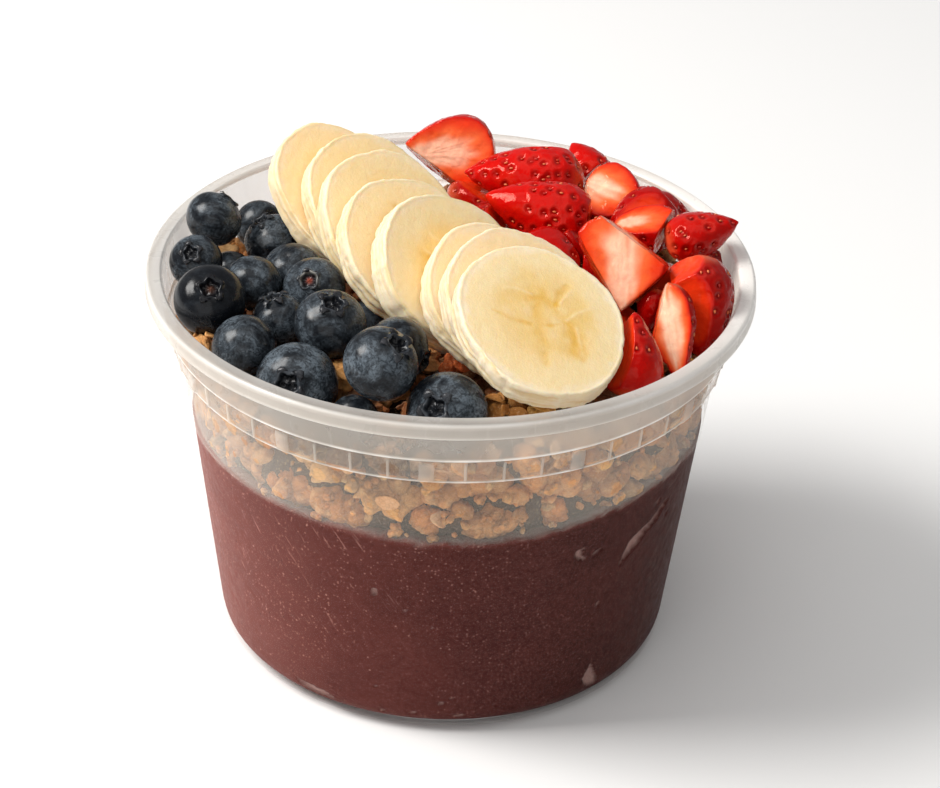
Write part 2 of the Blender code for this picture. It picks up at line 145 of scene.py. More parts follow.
def outward(V, faces):
    """Turns the faces round if the closed shape is inside out."""
    T = tri_of(faces)
    vol = np.einsum("ij,ij->i", V[T[:, 0]], np.cross(V[T[:, 1]], V[T[:, 2]])).sum()
    return [f[:, ::-1] for f in faces] if vol < 0 else faces


def make(name, V, faces, mat, nodes=(), attrs=None, col=None, flat=False):
    """A piece from points in millimetres."""
    me = bpy.data.meshes.new(name)
    V = np.asarray(V, float)
    n = sum(len(f) for f in faces)
    me.vertices.add(len(V))
    me.vertices.foreach_set("co", (V * MM).astype(np.float32).ravel())
    loops = np.concatenate([f.ravel() for f in faces]).astype(np.int32)
    tot = np.concatenate([np.full(len(f), f.shape[1], np.int32) for f in faces])
    start = np.concatenate([[0], np.cumsum(tot)[:-1]]).astype(np.int32)
    me.loops.add(len(loops))
    me.loops.foreach_set("vertex_index", loops)
    me.polygons.add(n)
    me.polygons.foreach_set("loop_start", start)
    me.polygons.foreach_set("loop_total", tot)
    me.update(calc_edges=True)
    me.validate()
    me.polygons.foreach_set("use_smooth", np.full(len(me.polygons), not flat))
    if col is not None:
        a = me.color_attributes.new("Col", "FLOAT_COLOR", "POINT")
        c = np.ones((len(V), 4), np.float32)
        c[:, :3] = np.clip(col, 0, 1)
        a.data.foreach_set("color", c.ravel())
    for k, v in (attrs or {}).items():
        a = me.attributes.new(k, "FLOAT", "POINT")
        a.data.foreach_set("value", np.broadcast_to(np.asarray(v, float), (len(V),)).astype(np.float32).copy())
    me.materials.append(mat)
    ob = bpy.data.objects.new(name, me)
    bpy.context.scene.collection.objects.link(ob)
    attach(ob, "root")
    if nodes:
        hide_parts(*nodes)
    TRIS[name] = len(tri_of(faces))
    return ob


TRIS = {}
_ico = {}


def ico(sub):
    """Unit sphere of 20 x 4^(sub-1) triangles."""
    if sub not in _ico:
        bm = bmesh.new()
        bmesh.ops.create_icosphere(bm, subdivisions=sub, radius=1.0)
        bm.verts.ensure_lookup_table()
        V = np.array([v.co[:] for v in bm.verts])
        F = np.array([[v.index for v in f.verts] for f in bm.faces])
        bm.free()
        _ico[sub] = (V / np.linalg.norm(V, axis=1, keepdims=True), F)
    return _ico[sub]


def cad(node):
    """Points (mm) and triangles of a CAD node."""
    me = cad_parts[node].data
    V = np.array([v.co[:] for v in me.vertices]) / MM
    me.calc_loop_triangles()
    T = np.array([t.vertices[:] for t in me.loop_triangles])
    return V, T


def tree(node):
    V, T = cad(node)
    return BVHTree.FromPolygons(V.tolist(), T.tolist())


class Batch:
    """Many small closed shapes joined into one piece."""

    def __init__(self):
        self.V, self.F, self.C, self.n = [], [], [], 0

    def add(self, V, F, col):
        self.V.append(V)
        self.F.append(F + self.n)
        self.C.append(np.broadcast_to(col, V.shape))
        self.n += len(V)

    def piece(self, name, mat, slot, nodes=(), flat=False):
        V, C = np.concatenate(self.V), np.concatenate(self.C)
        by = {}
        for f in self.F:
            by.setdefault(f.shape[1], []).append(f)
        return make(name, V, [np.concatenate(v) for v in by.values()], mat, nodes, col=C, flat=flat)


# ---------------------------------------------------------------- materials
class Mat:
    """A Principled material with the few nodes that the pieces need."""

    def __init__(self, name, **sockets):
        self.m = bpy.data.materials.new(name)
        self.m.use_nodes = True
        self.nt = self.m.node_tree
        self.b = self.nt.nodes["Principled BSDF"]
        for k, v in sockets.items():
            self.b.inputs[k.replace("_", " ")].default_value = v
        self._pos = None

    def link(self, a, b):
        self.nt.links.new(a, b)

    def put(self, value, socket):
        if isinstance(value, bpy.types.NodeSocket):
            self.link(value, socket)
        else:
            socket.default_value = value

    def pos(self):
        if self._pos is None:
            self._pos = self.nt.nodes.new("ShaderNodeTexCoord").outputs["Object"]
        return self._pos

    def stretch(self, scale, vec=None):
        n = self.nt.nodes.new("ShaderNodeMapping")
        self.link(vec or self.pos(), n.inputs["Vector"])
        n.inputs["Scale"].default_value = scale
        return n.outputs[0]

    def noise(self, per_mm, detail=3.0, rough=0.55, distort=0.0, vec=None):
        n = self.nt.nodes.new("ShaderNodeTexNoise")
        self.link(vec or self.pos(), n.inputs["Vector"])
        n.inputs["Scale"].default_value = per_mm / MM
        n.inputs["Detail"].default_value = detail
        n.inputs["Roughness"].default_value = rough
        n.inputs["Distortion"].default_value = distort
        return n.outputs["Fac"]

    def cells(self, per_mm, feature="F1", out="Distance", randomness=1.0):
        n = self.nt.nodes.new("ShaderNodeTexVoronoi")
        n.feature = feature
        self.link(self.pos(), n.inputs["Vector"])
        n.inputs["Scale"].default_value = per_mm / MM
        n.inputs["Randomness"].default_value = randomness
        return n.outputs[out]

    def attr(self, name, out="Fac"):
        n = self.nt.nodes.new("ShaderNodeAttribute")
        n.attribute_name = name
        return n.outputs[out]

    def remap(self, v, a, b, c=0.0, d=1.0):
        n = self.nt.nodes.new("ShaderNodeMapRange")
        self.put(v, n.inputs["Value"])
        for k, x in zip(("From Min", "From Max", "To Min", "To Max"), (a, b, c, d)):
            n.inputs[k].default_value = x
        return n.outputs["Result"]

    def math(self, op, a, b=0.0, c=None):
        n = self.nt.nodes.new("ShaderNodeMath")
        n.operation = op
        self.put(a, n.inputs[0])
        self.put(b, n.inputs[1])
        if c is not None:
            self.put(c, n.inputs[2])
        return n.outputs[0]

    def mixc(self, fac, a, b, mode="MIX"):
        n = self.nt.nodes.new("ShaderNodeMix")
        n.data_type = "RGBA"
        n.blend_type = mode
        self.put(fac, n.inputs[0])
        for v, s in ((a, n.inputs[6]), (b, n.inputs[7])):
            self.put(v if isinstance(v, bpy.types.NodeSocket) else (*[float(x) for x in v], 1.0), s)
        return n.outputs[2]

    def bump(self, height, mm, strength=1.0, after=None):
        n = self.nt.nodes.new("ShaderNodeBump")
        n.inputs["Strength"].default_value = strength
        n.inputs["Distance"].default_value = mm * MM
        self.link(height, n.inputs["Height"])
        if after is not None:
            self.link(after, n.inputs["Normal"])
        return n.outputs[0]

    def done(self, colour=None, rough=None, normal=None):
        if colour is not None:
            self.put(colour, self.b.inputs["Base Color"])
        if rough is not None:
            self.put(rough, self.b.inputs["Roughness"])
        if normal is not None:
            self.link(normal, self.b.inputs["Normal"])
        return self.m


# ---------------------------------------------------------------- container
def wall_outer(z):
    t = np.clip((np.asarray(z, float) - CORNER_R) / (LEDGE_LO - CORNER_R), 0, 1)
    return WALL_FOOT_R + (WALL_TOP_R - WALL_FOOT_R) * t


def wall_inner(z):
    z = np.asarray(z, float)
    mid = 52.4 + 0.6 * (z - LEDGE_LO + 0.6) / (LEDGE_HI - LEDGE_LO)
    top = 53.7 + 1.5 * (z - LEDGE_HI) / (RIM_TOP - LEDGE_HI)
    return np.where(z < LEDGE_LO - 0.6, wall_outer(z) - WALL, np.where(z < LEDGE_HI, mid, top))


def rounded(points):
    """A profile from (r, z, fillet, step) corners."""
    out = []
    P = [np.array(p[:2], float) for p in points]
    for i, p in enumerate(points):
        f = p[2] if len(p) > 2 else 0.0
        if i in (0, len(points) - 1) or f <= 0:
            out.append(P[i])
            continue
        a, b = P[i - 1] - P[i], P[i + 1] - P[i]
        la, lb = np.linalg.norm(a), np.linalg.norm(b)
        a, b = a / la, b / lb
        half = np.arccos(np.clip(a @ b, -1, 1)) / 2
        t = min(f / np.tan(half), la * 0.49, lb * 0.49)
        f = t * np.tan(half)
        c = P[i] + (a + b) / np.linalg.norm(a + b) * (f / sin(half))
        s, e = P[i] + a * t, P[i] + b * t
        a0, a1 = atan2(*(s - c)[::-1]), atan2(*(e - c)[::-1])
        d = (a1 - a0 + pi) % (2 * pi) - pi
        n = max(2, int(abs(d) * f / 0.35) + 2, int(abs(d) / 0.45) + 1)
        out += [c + f * np.array([cos(a0 + d * k / n), sin(a0 + d * k / n)]) for k in range(n + 1)]
    return np.array(out)


def fine(profile, step):
    """Long straight runs of a profile get points between their ends."""
    out = [profile[0]]
    for a, b in zip(profile[:-1], profile[1:]):
        n = max(1, int(np.linalg.norm(b - a) / step))
        ts = np.arange(1, n + 1) / n
        if abs(b[1] - a[1]) > 20:                  # the tapered wall: closer rows where the puree ends
            zz = np.concatenate([np.arange(6.0, 45.5, 2.4), np.arange(46.0, 52.1, 0.6), np.arange(53.5, 61.5, 2.0)])
            ts = np.sort(np.concatenate([(zz - a[1]) / (b[1] - a[1]), [1.0]]))
            ts = ts[(ts > 0) & (ts <= 1)]
        elif abs(b[1] - a[1]) > 1.0:               # and beside the bright edges
            zz = np.array([63.15, 63.45, 66.8, 68.45, 68.8, 75.65, 75.95, 76.9])
            tz = (zz - a[1]) / (b[1] - a[1])
            ts = np.unique(np.round(np.concatenate([ts, tz[(tz > 0.02) & (tz < 0.98)]]), 4))
        out += [a + (b - a) * t for t in ts]
    return np.array(out)


def make_tub():
    foot = WALL_FOOT_R + (WALL_TOP_R - WALL_FOOT_R) * (-CORNER_R) / (LEDGE_LO - CORNER_R)
    outer = [(0.02, PANEL_Z), (FOOT_IN_R - 1.0, PANEL_Z, 0.8), (FOOT_IN_R, 0.0, 0.5), (foot + 0.15, 0.0, CORNER_R),
             (WALL_TOP_R, LEDGE_LO - 0.55, 0.35), (53.1, LEDGE_LO + 0.15, 0.3), (53.75, LEDGE_HI - 0.45, 0.35),
             (54.45, LEDGE_HI + 0.15, 0.35), (56.05, RIM_TOP - 1.0, 0.4), (57.65, RIM_TOP - 1.1, 0.3),
             (57.8, SKIRT_Z, 0.28), (RIM_R, SKIRT_Z, 0.3), (58.25, RIM_TOP - 0.35, 0.7), (LAND_OUT, RIM_TOP, 0.5),
             (LAND_IN, RIM_TOP, 0.35), (55.1, RIM_TOP - 0.5, 0.3)]
    inner = [(53.75, LEDGE_HI + 0.4, 0.5), (53.0, LEDGE_HI - 0.35, 0.4), (52.35, LEDGE_LO + 0.4, 0.5),
             (WALL_TOP_R - WALL, LEDGE_LO - 0.35, 0.4), (foot - WALL + 0.35, WALL + PANEL_Z, CORNER_R - WALL),
             (0.02, WALL + PANEL_Z)]
    prof = fine(rounded(outer + inner), 2.2)
    # angles: each rib of the band has its own edges
    ang = []
    for k in range(RIBS):
        c = radians(RIB_FIRST + 360.0 / RIBS * k)
        w = (RIB_WIDE if k % WIDE_EVERY == 0 else RIB_THIN) / 53.0 / 2
        e = 0.22 / 53.0
        ang += [c - w - e, c - w, c + w, c + w + e]
        left = c + w + e
        nxt = c + 2 * pi / RIBS - ((RIB_WIDE if (k + 1) % WIDE_EVERY == 0 else RIB_THIN) / 53.0 / 2) - e
        ang += [left + (nxt - left) * j / 4 for j in (1, 2, 3)]
    ang = np.array(ang)
    rib = np.zeros(len(ang))
    rib[1::7] = rib[2::7] = 1.0
    wide = np.repeat(np.arange(RIBS) % WIDE_EVERY == 0, 7)
    n, m = len(prof), len(ang)
    R = np.repeat(prof[:, 0][:, None], m, 1)
    Z = np.repeat(prof[:, 1][:, None], m, 1)
    # the ribs stand on the band's outer face, between the two ledges
    i_top = int(np.argmin(np.hypot(prof[:, 0] - RIM_R, prof[:, 1] - SKIRT_Z)))
    outside = np.arange(n) < i_top
    band = smooth(LEDGE_LO + 0.1, LEDGE_LO + 0.5, prof[:, 1]) * (1 - smooth(LEDGE_HI - 0.8, LEDGE_HI - 0.3, prof[:, 1]))
    band = band * outside
    R += band[:, None] * rib[None, :] * np.where(wide, 0.38, 0.30)[None, :]
    A = np.repeat(ang[None, :], n, 0)
    V = np.stack([R * np.sin(A), -R * np.cos(A), Z], -1).reshape(-1, 3)
    # a moulded wall is never quite even
    inside_w = (R > 30).reshape(-1) & (V[:, 2] < RIM_TOP - 1.5)
    wob = 0.05 * vnoise(V, 0.045, 3) * inside_w
    rr = np.hypot(V[:, 0], V[:, 1])
    V[:, 0] += V[:, 0] / rr * wob
    V[:, 1] += V[:, 1] / rr * wob
    F = grid(n, m)
    cap_out, cap_in = len(V), len(V) + 1
    V = np.vstack([V, [0, 0, PANEL_Z], [0, 0, PANEL_Z + WALL]])
    faces = [F, fan(cap_out, 0, m), fan(cap_in, (n - 1) * m, m, flip=True)]
    faces = outward(V, faces)
    # milkiness: the puree wets the wall and clears it; above it the wall is
    # frosted, and thicker places (ledges, ribs, rim) are whiter; the bright lines along the ledges and the rim's edges
    # are partly painted highlight
    pr, pz = prof[:, 0][:, None], prof[:, 1][:, None]
    edge = acai_edge(ang)[None, :] + 0.35 * vnoise(np.stack([np.sin(ang) * 50, -np.cos(ang) * 50, ang * 0], -1), 0.8, 91)[None, :]
    body = (pr > 40) & (pz < LEDGE_LO)
    milk = np.where(body, MILK_WET + (MILK - MILK_WET) * smooth(-0.1, 0.4, pz - edge), MILK)
    # the left and right of the frosted part are more scuffed than its middle
    scuffed = 1 + 2.9 * np.sin(ang)[None, :] ** 2 * (0.75 + 0.25 * np.cos(ang + 1.2))[None, :]
    milk = np.where(pz > 49, milk * scuffed, milk)
    milk = np.where(pz < 1.5, MILK_WET, milk)
    milk = milk + 0.03 * np.exp(-((pz - edge - 0.5) / 0.6) ** 2) * body
    milk = milk + 0.05 * smooth(LEDGE_LO - 0.6, LEDGE_LO, pz) + 0.11 * smooth(LEDGE_HI - 0.2, LEDGE_HI + 0.6, pz) * (0.35 + 0.65 * np.exp(-(((ang + pi) % (2 * pi) - pi) / 1.1) ** 4))[None, :]
    az = ((ang + pi) % (2 * pi) - pi)[None, :]
    right = np.exp(-((az - 1.75) / 0.95) ** 2)
    milk = milk - 0.05 * smooth(1.8, 2.6, np.abs(az)) * smooth(LEDGE_HI - 0.2, LEDGE_HI + 0.8, pz)
    milk = milk + 0.32 * right * smooth(LEDGE_HI - 0.2, LEDGE_HI + 0.8, pz)
    uneven = 0.86 + 0.30 * vnoise(np.stack([np.sin(ang) * 50, -np.cos(ang) * 50, ang * 0], -1), 0.30, 33)[None, :]
    # bright lines along the two ledges: partly thicker plastic, partly painted highlight in place of the glints on the
    # ledges
    for z0, w, amp in ((LEDGE_LO + 0.24, 0.32, 0.68), (LEDGE_HI + 0.24, 0.34, 0.74)):
        milk = milk + amp * uneven * np.exp(-((pz - z0) / w) ** 2) * (pr > 50) * outside[:, None]
    rim = smooth(RIM_TOP - 1.2, RIM_TOP - 0.6, pz) * 0.13 + 0.11 * (pr > 57.0) * (pz > 70) + 0.02 * (pz > 70) + 0.12 * right * (pr > 57.0) * (pz > 70)
    milk = milk + rim
    # bright lines along the rim's inner and outer edges and the skirt's edge: painted highlight, made as whiter haze
    line = np.exp(-(np.hypot(pr - LAND_IN, pz - RIM_TOP) / 0.42) ** 2) + 0.55 * np.exp(-(np.hypot(pr - 58.2, pz - RIM_TOP + 0.1) / 0.42) ** 2) \
        + np.exp(-(np.hypot(pr - 58.3, pz - SKIRT_Z) / 0.40) ** 2)
    milk = milk + 0.45 * np.clip(line, 0, 1)
    milk = milk + 0.10 * np.exp(-((pz - 0.9) / 1.0) ** 2) * (pr > 38) * outside[:, None]
    M = milk + band[:, None] * rib[None, :] * np.where(wide, 0.20, 0.28)[None, :]
    # painted shade: the rim's flat top and its skirt are greyed, most in front and on the left, least on the right
    flat_top = np.exp(-((pz - RIM_TOP) / 0.35) ** 2) * (pr > 55.0)
    skirt = (pr > 57.0) * smooth(RIM_TOP - 0.2, RIM_TOP - 0.9, pz) * (pz > SKIRT_Z + 0.2)
    tone = np.broadcast_to(1 - (0.68 * flat_top + 0.34 * skirt) * np.interp(np.degrees(az), [-180, -120, -90, -30, 30, 60, 90, 120, 180], [0.45, 0.70, 0.88, 1.0, 1.0, 0.55, 0.12, 0.15, 0.45]), (n, m)).reshape(-1)
    tone = np.concatenate([tone, [1, 1]])
    M = np.broadcast_to(M, (n, m))
    M = np.concatenate([M.reshape(-1), [MILK_WET, MILK_WET]])
    M = M * (1 + 0.22 * fbm(V, 0.06, 8, 3))
    return make("tub", V, faces, tub_material(), ["container"], attrs={"milk": np.clip(M, 0.004, 0.9), "tone": tone})


MILK, MILK_WET = 0.085, 0.005


def tub_material():
    k = Mat("frosted_plastic", Roughness=0.30, IOR=1.49)
    k.b.inputs["Specular IOR Level"].default_value = 0.5
    colour = k.mixc(k.noise(0.03, 2), lin(242, 233, 222), lin(233, 224, 213))
    # high milk (the ledge and edge lines) turns the colour whiter: partly painted highlight
    colour = k.mixc(k.remap(k.attr("milk"), 0.55, 0.85), colour, (0.97, 0.94, 0.90))
    # the tone attribute greys the colour: painted shade on the rim's top and skirt
    colour = k.mixc(k.attr("tone"), lin(122, 119, 116), colour)
    # fine scuffs raise the haze a little, more on the stacking band and rim
    scuff = k.noise(0.8, 5, 0.62, 0.5, k.stretch((1, 1, 0.16)))
    thick = k.remap(k.attr("milk"), 0.05, 0.25, 0.03, 1.0)
    hair = k.remap(scuff, 0.60, 0.80, 0.0, 0.10)
    alpha = k.math("ADD", k.attr("milk"), k.math("MULTIPLY", hair, thick))
    k.link(alpha, k.b.inputs["Alpha"])
    rough = k.remap(k.noise(0.25, 3), 0.3, 0.7, 0.24, 0.38)
    bump = k.bump(k.noise(0.35, 3, 0.5), 0.05, 0.25)
    return k.done(colour, rough, bump)


# --------------------------------------------------------------------- acai
# air pockets against the wall: outlines as azimuth and height
OUTLINES = [
    [(-39.0, 5.7), (-36.7, 5.0), (-34.3, 5.0), (-29.7, 4.9), (-27.0, 3.8), (-27.8, 3.0), (-32.5, 2.5), (-35.1, 2.4), (-35.8, 3.1), (-37.1, 4.2)],
    [(40.1, 10.4), (42.3, 7.1), (43.8, 4.4), (40.8, 3.9), (38.9, 5.2), (38.2, 7.0), (39.0, 8.3)],
    [(60.0, 42.4), (58.4, 41.0), (55.3, 38.9), (52.0, 38.2), (50.2, 36.6), (46.2, 34.9), (44.9, 33.8), (44.0, 32.6), (44.7, 35.4),
     (45.5, 37.4), (47.3, 38.9), (50.2, 39.6), (53.3, 40.2), (55.6, 41.6), (58.0, 42.6)],
    [(32.2, 42.0), (32.7, 41.3), (31.9, 41.0), (31.9, 40.0), (33.1, 39.2), (33.0, 38.7), (31.3, 39.0), (30.1, 40.3), (30.2, 41.2), (31.2, 41.7)],
    [(36.9, 40.1), (37.3, 39.6), (36.3, 39.2), (35.5, 38.7), (35.0, 39.2), (35.7, 40.0)],
    [(104.0, 26.0), (110.5, 30.5), (117.0, 33.0), (119.0, 35.5), (112.0, 33.4), (106.0, 30.0)],
    [(150.0, 8.0), (156.0, 6.5), (160.0, 4.0), (152.0, 3.4), (147.5, 5.2)],
    [(-130.0, 5.6), (-124.0, 5.0), (-116.5, 3.4), (-122.0, 2.6), (-128.5, 3.2)],
    [(-160.0, 38.0), (-156.5, 41.5), (-154.0, 40.0), (-155.5, 36.0), (-158.5, 35.0)],
    [(-85.0, 27.0), (-82.6, 30.0), (-80.8, 33.5), (-82.0, 30.2), (-84.0, 26.4)],
]
# round ones: azimuth, height, half width, half height
DOTS = [(0.5, 7.4, 0.62, 0.35), (3.1, 8.6, 0.42, 0.28), (-14.0, 4.0, 0.5, 0.28), (-6.3, 4.4, 0.7, 0.25), (5.4, 4.1, 1.6, 0.30), (-2.0, 26.6, 0.25, 0.28),
        (-8.1, 30.4, 0.25, 0.28), (-15.5, 10.1, 0.3, 0.2), (-15.2, 34.0, 0.55, 1.0), (39.0, 25.8, 0.32, 0.75), (55.0, 44.1, 0.4, 0.6), (60.4, 38.4, 0.3, 0.6),
        (34.0, 15.0, 0.2, 0.2), (28.0, 12.5, 0.18, 0.25), (14.0, 6.6, 0.3, 0.2), (20.0, 30.5, 0.2, 0.15), (-38.0, 21.0, 0.25, 0.18), (90.0, 20.0, 0.6, 0.9),
        (126.0, 14.0, 0.9, 0.4), (170.0, 30.0, 0.7, 0.7), (-176.0, 18.0, 0.5, 0.9), (-140.0, 30.0, 0.6, 0.5), (-105.0, 36.0, 0.8, 0.4), (-100.0, 12.0, 0.4, 0.8)]


def outline_gap(x, y, poly):
    """Signed distance to a closed outline, negative inside."""
    n = len(poly)
    d = np.full(x.shape, 1e9)
    inside = np.zeros(x.shape, bool)
    for i in range(n):
        ax, ay = poly[i]
        bx, by = poly[(i + 1) % n]
        ex, ey = bx - ax, by - ay
        t = np.clip(((x - ax) * ex + (y - ay) * ey) / (ex * ex + ey * ey), 0, 1)
        d = np.minimum(d, np.hypot(x - ax - ex * t, y - ay - ey * t))
        cross = (ay > y) != (by > y)
        with np.errstate(divide="ignore", invalid="ignore"):
            xi = ax + (y - ay) / (ey if abs(ey) > 1e-9 else 1e-9) * ex
        inside ^= cross & (x < xi)
    return np.where(inside, -d, d)


def acai_edge(a):
    """Level of the acai against the wall at an azimuth in radians."""
    d = np.degrees((np.asarray(a) + pi) % (2 * pi) - pi)
    z = np.interp(d, [-180, -140, -90, -60, -30, 0, 20, 34, 50, 65, 74, 100, 140, 180],
                  [47.9, 48.6, 48.2, 48.4, 47.9, 47.2, 47.6, 48.6, 49.3, 49.6, 47.9, 48.3, 47.4, 47.9])
    P = np.stack([np.sin(a) * 50, -np.cos(a) * 50, np.zeros_like(np.asarray(a, float))], -1)
    more = 1 + 0.8 * np.exp(-((d - 4) / 30) ** 2)
    return z + more * (0.50 * fbm(P, 0.30, 21, 4, 0.6) + 0.22 * vnoise(P, 1.3, 24)) + 0.30 * smooth(0.45, 0.8, vnoise(P, 0.5, 27))


def make_acai():
    # columns stand closer in front, where most of the pockets are
    ang = [-180.0]
    while ang[-1] < 179.0:
        a = ang[-1]
        ang.append(a + (0.56 if -66 < a < 74 else 1.35))
    ang = np.radians(np.array([a for a in ang if a < 179.2]))
    m = len(ang)
    into = 0.50                                    # how far the filling reaches into the wall
    zs = np.linspace(0, 1, 118)
    base = WALL + PANEL_Z - 0.25
    foot = WALL_FOOT_R - WALL + into
    cr = CORNER_R - WALL + 0.2
    corner = [(foot - cr * (1 - sin(t)), base + cr * (1 - cos(t))) for t in np.linspace(0, pi / 2, 14)]
    rows_r, rows_z = [], []
    for r in (12, 24, 34):
        rows_r.append(np.full(m, float(r)))
        rows_z.append(np.full(m, base))
    for r, z in corner[:-1]:
        rows_r.append(np.full(m, r))
        rows_z.append(np.full(m, z))
    top = acai_edge(ang)
    z0 = corner[-1][1]
    for t in zs:
        z = z0 + (top - z0) * t
        rows_z.append(z)
        rows_r.append(wall_outer(z) - WALL + into)
    for f in (0.985, 0.95, 0.88, 0.75, 0.55, 0.3):
        rr = (wall_outer(top) - WALL) * f
        P = np.stack([rr * np.sin(ang), -rr * np.cos(ang), np.zeros(m)], -1)
        rows_r.append(rr)
        rows_z.append(top * f + 47.6 * (1 - f) - 0.35 * (f < 0.96) + 0.5 * vnoise(P, 0.2, 4))
    R, Z = np.array(rows_r), np.array(rows_z)
    n = len(R)
    A = np.repeat(ang[None], n, 0)
    side = np.zeros(n, bool)
    side[3:3 + len(corner) - 1 + len(zs)] = True
    P3 = np.stack([R * np.sin(A), -R * np.cos(A), Z], -1)
    # pockets where the puree doesn't reach the wall
    deg = np.degrees(A)
    w1, w2 = 0.16 * vnoise(P3, 1.1, 31), 0.14 * vnoise(P3, 1.2, 37)
    dent = np.zeros_like(R)
    for poly in OUTLINES:
        q = np.array(poly)
        c = q.mean(0)
        x = ((deg - c[0] + 180) % 360 - 180) * radians(1) * 48.0 + w1
        g = outline_gap(x, Z + w2, [((a - c[0]) * radians(1) * 48.0, z) for a, z in poly])
        dent = np.maximum(dent, 1 - smooth(-0.30, 0.12, g))
    for az, z, hw, hh in DOTS:
        x = ((deg - az + 180) % 360 - 180) * radians(1) * 48.0 + 0.8 * w1
        g = (np.hypot(x / hw, (Z - z + 0.8 * w2) / hh) - 1) * min(hw, hh)
        dent = np.maximum(dent, 0.8 * (1 - smooth(-0.18, 0.12, g)))
    dent *= side[:, None]
    R = R - 0.95 * dent
    R -= (0.04 * fbm(P3, 0.9, 5, 2) + 0.04) * side[:, None]
    V = np.stack([R * np.sin(A), -R * np.cos(A), Z], -1).reshape(-1, 3)
    lo, hi = len(V), len(V) + 1
    V = np.vstack([V, [0, 0, base], [0, 0, 47.6]])
    faces = outward(V, [grid(n, m), fan(lo, 0, m), fan(hi, (n - 1) * m, m, flip=True)])
    col = mix(lin(99, 44, 38), lin(86, 36, 32), smooth(-0.5, 0.5, fbm(V, 0.06, 12, 3)))
    # painted light and shade: the colour is scaled by azimuth, paler and pinker on the left, where the light falls, and
    # darker on the right, away from the light
    d = np.degrees(np.arctan2(V[:, 0], -V[:, 1]))
    gain = np.interp(d, [-180, -120, -88, -60, -30, 0, 35, 70, 110, 180], [0.9, 1.1, 1.6, 1.1, 0.78, 0.59, 0.35, 0.40, 0.7, 0.9])
    painted_left_light = np.interp(d, [-180, -120, -88, -55, -25, 0, 180], [0.0, 0.12, 0.34, 0.16, 0.03, 0.0, 0.0])
    col = mix(col * gain[:, None], lin(196, 138, 128), painted_left_light)
    # the pale air pockets take part of the same painted light gain
    col = mix(col, lin(174, 142, 134) * np.clip(gain, 0.92, 1.3)[:, None], np.concatenate([(0.9 * smooth(0.25, 0.9, dent)).reshape(-1), [0, 0]]))
    # the top skin is a little redder and paler near its edge
    rim = smooth(-1.6, 0.2, V[:, 2] - np.concatenate([np.repeat(top[None], n, 0).reshape(-1), [60, 60]]))
    col = mix(col, lin(138, 74, 64), 0.55 * rim * (0.6 + 0.4 * vnoise(V, 0.7, 14)))
    crowd = np.interp(d, [-180, -90, -62, -15, 25, 60, 120, 180], [0.5, 0.7, 0.9, 0.52, 0.22, 0.12, 0.3, 0.5])
    worn = np.interp(d, [-100, -78, -30, 0], [0.0, 1.0, 1.0, 0.0]) * smooth(12, 30, V[:, 2])
    return make("acai_puree", V, faces, acai_material(), ["acai"], col=col,
                attrs={"speck": crowd, "worn": worn, "u": (np.radians(d) * 48 * cos(0.56) + V[:, 2] * sin(0.56)) * MM, "w": (V[:, 2] * cos(0.56) - np.radians(d) * 48 * sin(0.56)) * MM})


def acai_material():
    k = Mat("acai_puree", Roughness=0.42, IOR=1.4)
    k.b.inputs["Specular IOR Level"].default_value = 0.08
    base = k.attr("Col", "Color")
    cloud = k.remap(k.noise(0.06, 4, 0.6), 0.35, 0.65, 0.0, 0.45)
    c = k.mixc(cloud, base, k.mixc(1.0, base, (0.78, 0.72, 0.72), "MULTIPLY"))
    grain = k.remap(k.noise(1.5, 5, 0.75), 0.40, 0.70, 0.0, 0.36)
    c = k.mixc(grain, c, lin(122, 72, 66))

    def specks(per_mm, share, size, tone, amount, seed_axis):
        d = k.cells(per_mm)
        sep = k.nt.nodes.new("ShaderNodeSeparateColor")
        k.link(k.cells(per_mm, out="Color"), sep.inputs[0])
        r = k.remap(sep.outputs[seed_axis], share, 1.0, 0.0, size)
        spot = k.remap(k.math("SUBTRACT", r, d), 0.0, 0.03, 0.0, amount)
        return k.mixc(spot, c, tone)
    # ice crystals, seed specks and the few dark bits of skin; they crowd in places
    crowd = k.remap(k.noise(0.035, 2, 0.5), 0.42, 0.58)
    many = k.math("MULTIPLY", k.remap(crowd, 0, 1, 0.3, 1.0), k.attr("speck"))
    c = k.mixc(many, c, specks(1.6, 0.30, 0.38, lin(192, 138, 125), 0.66, 0))
    c = k.mixc(k.attr("speck"), c, specks(0.75, 0.45, 0.19, lin(196, 144, 131), 0.70, 1))
    c = specks(0.9, 0.55, 0.22, lin(44, 18, 20), 0.5, 2)
    # hair scratches that run aslant
    q = k.nt.nodes.new("ShaderNodeCombineXYZ")
    k.link(k.attr("u"), q.inputs[0])
    k.link(k.attr("w"), q.inputs[1])
    m = k.nt.nodes.new("ShaderNodeMapping")
    k.link(q.outputs[0], m.inputs["Vector"])
    m.inputs["Scale"].default_value = (1.0, 0.09, 1.0)
    hair = k.remap(k.noise(1.5, 3, 0.6, 0.2, m.outputs[0]), 0.63, 0.72, 0.0, 0.42)
    c = k.mixc(k.math("MULTIPLY", hair, k.attr("worn")), c, lin(206, 150, 138))
    rough = k.remap(k.noise(0.6, 3), 0.3, 0.7, 0.38, 0.55)
    bump = k.bump(k.noise(1.2, 4, 0.6), 0.06, 0.3)
    return k.done(c, rough, bump)
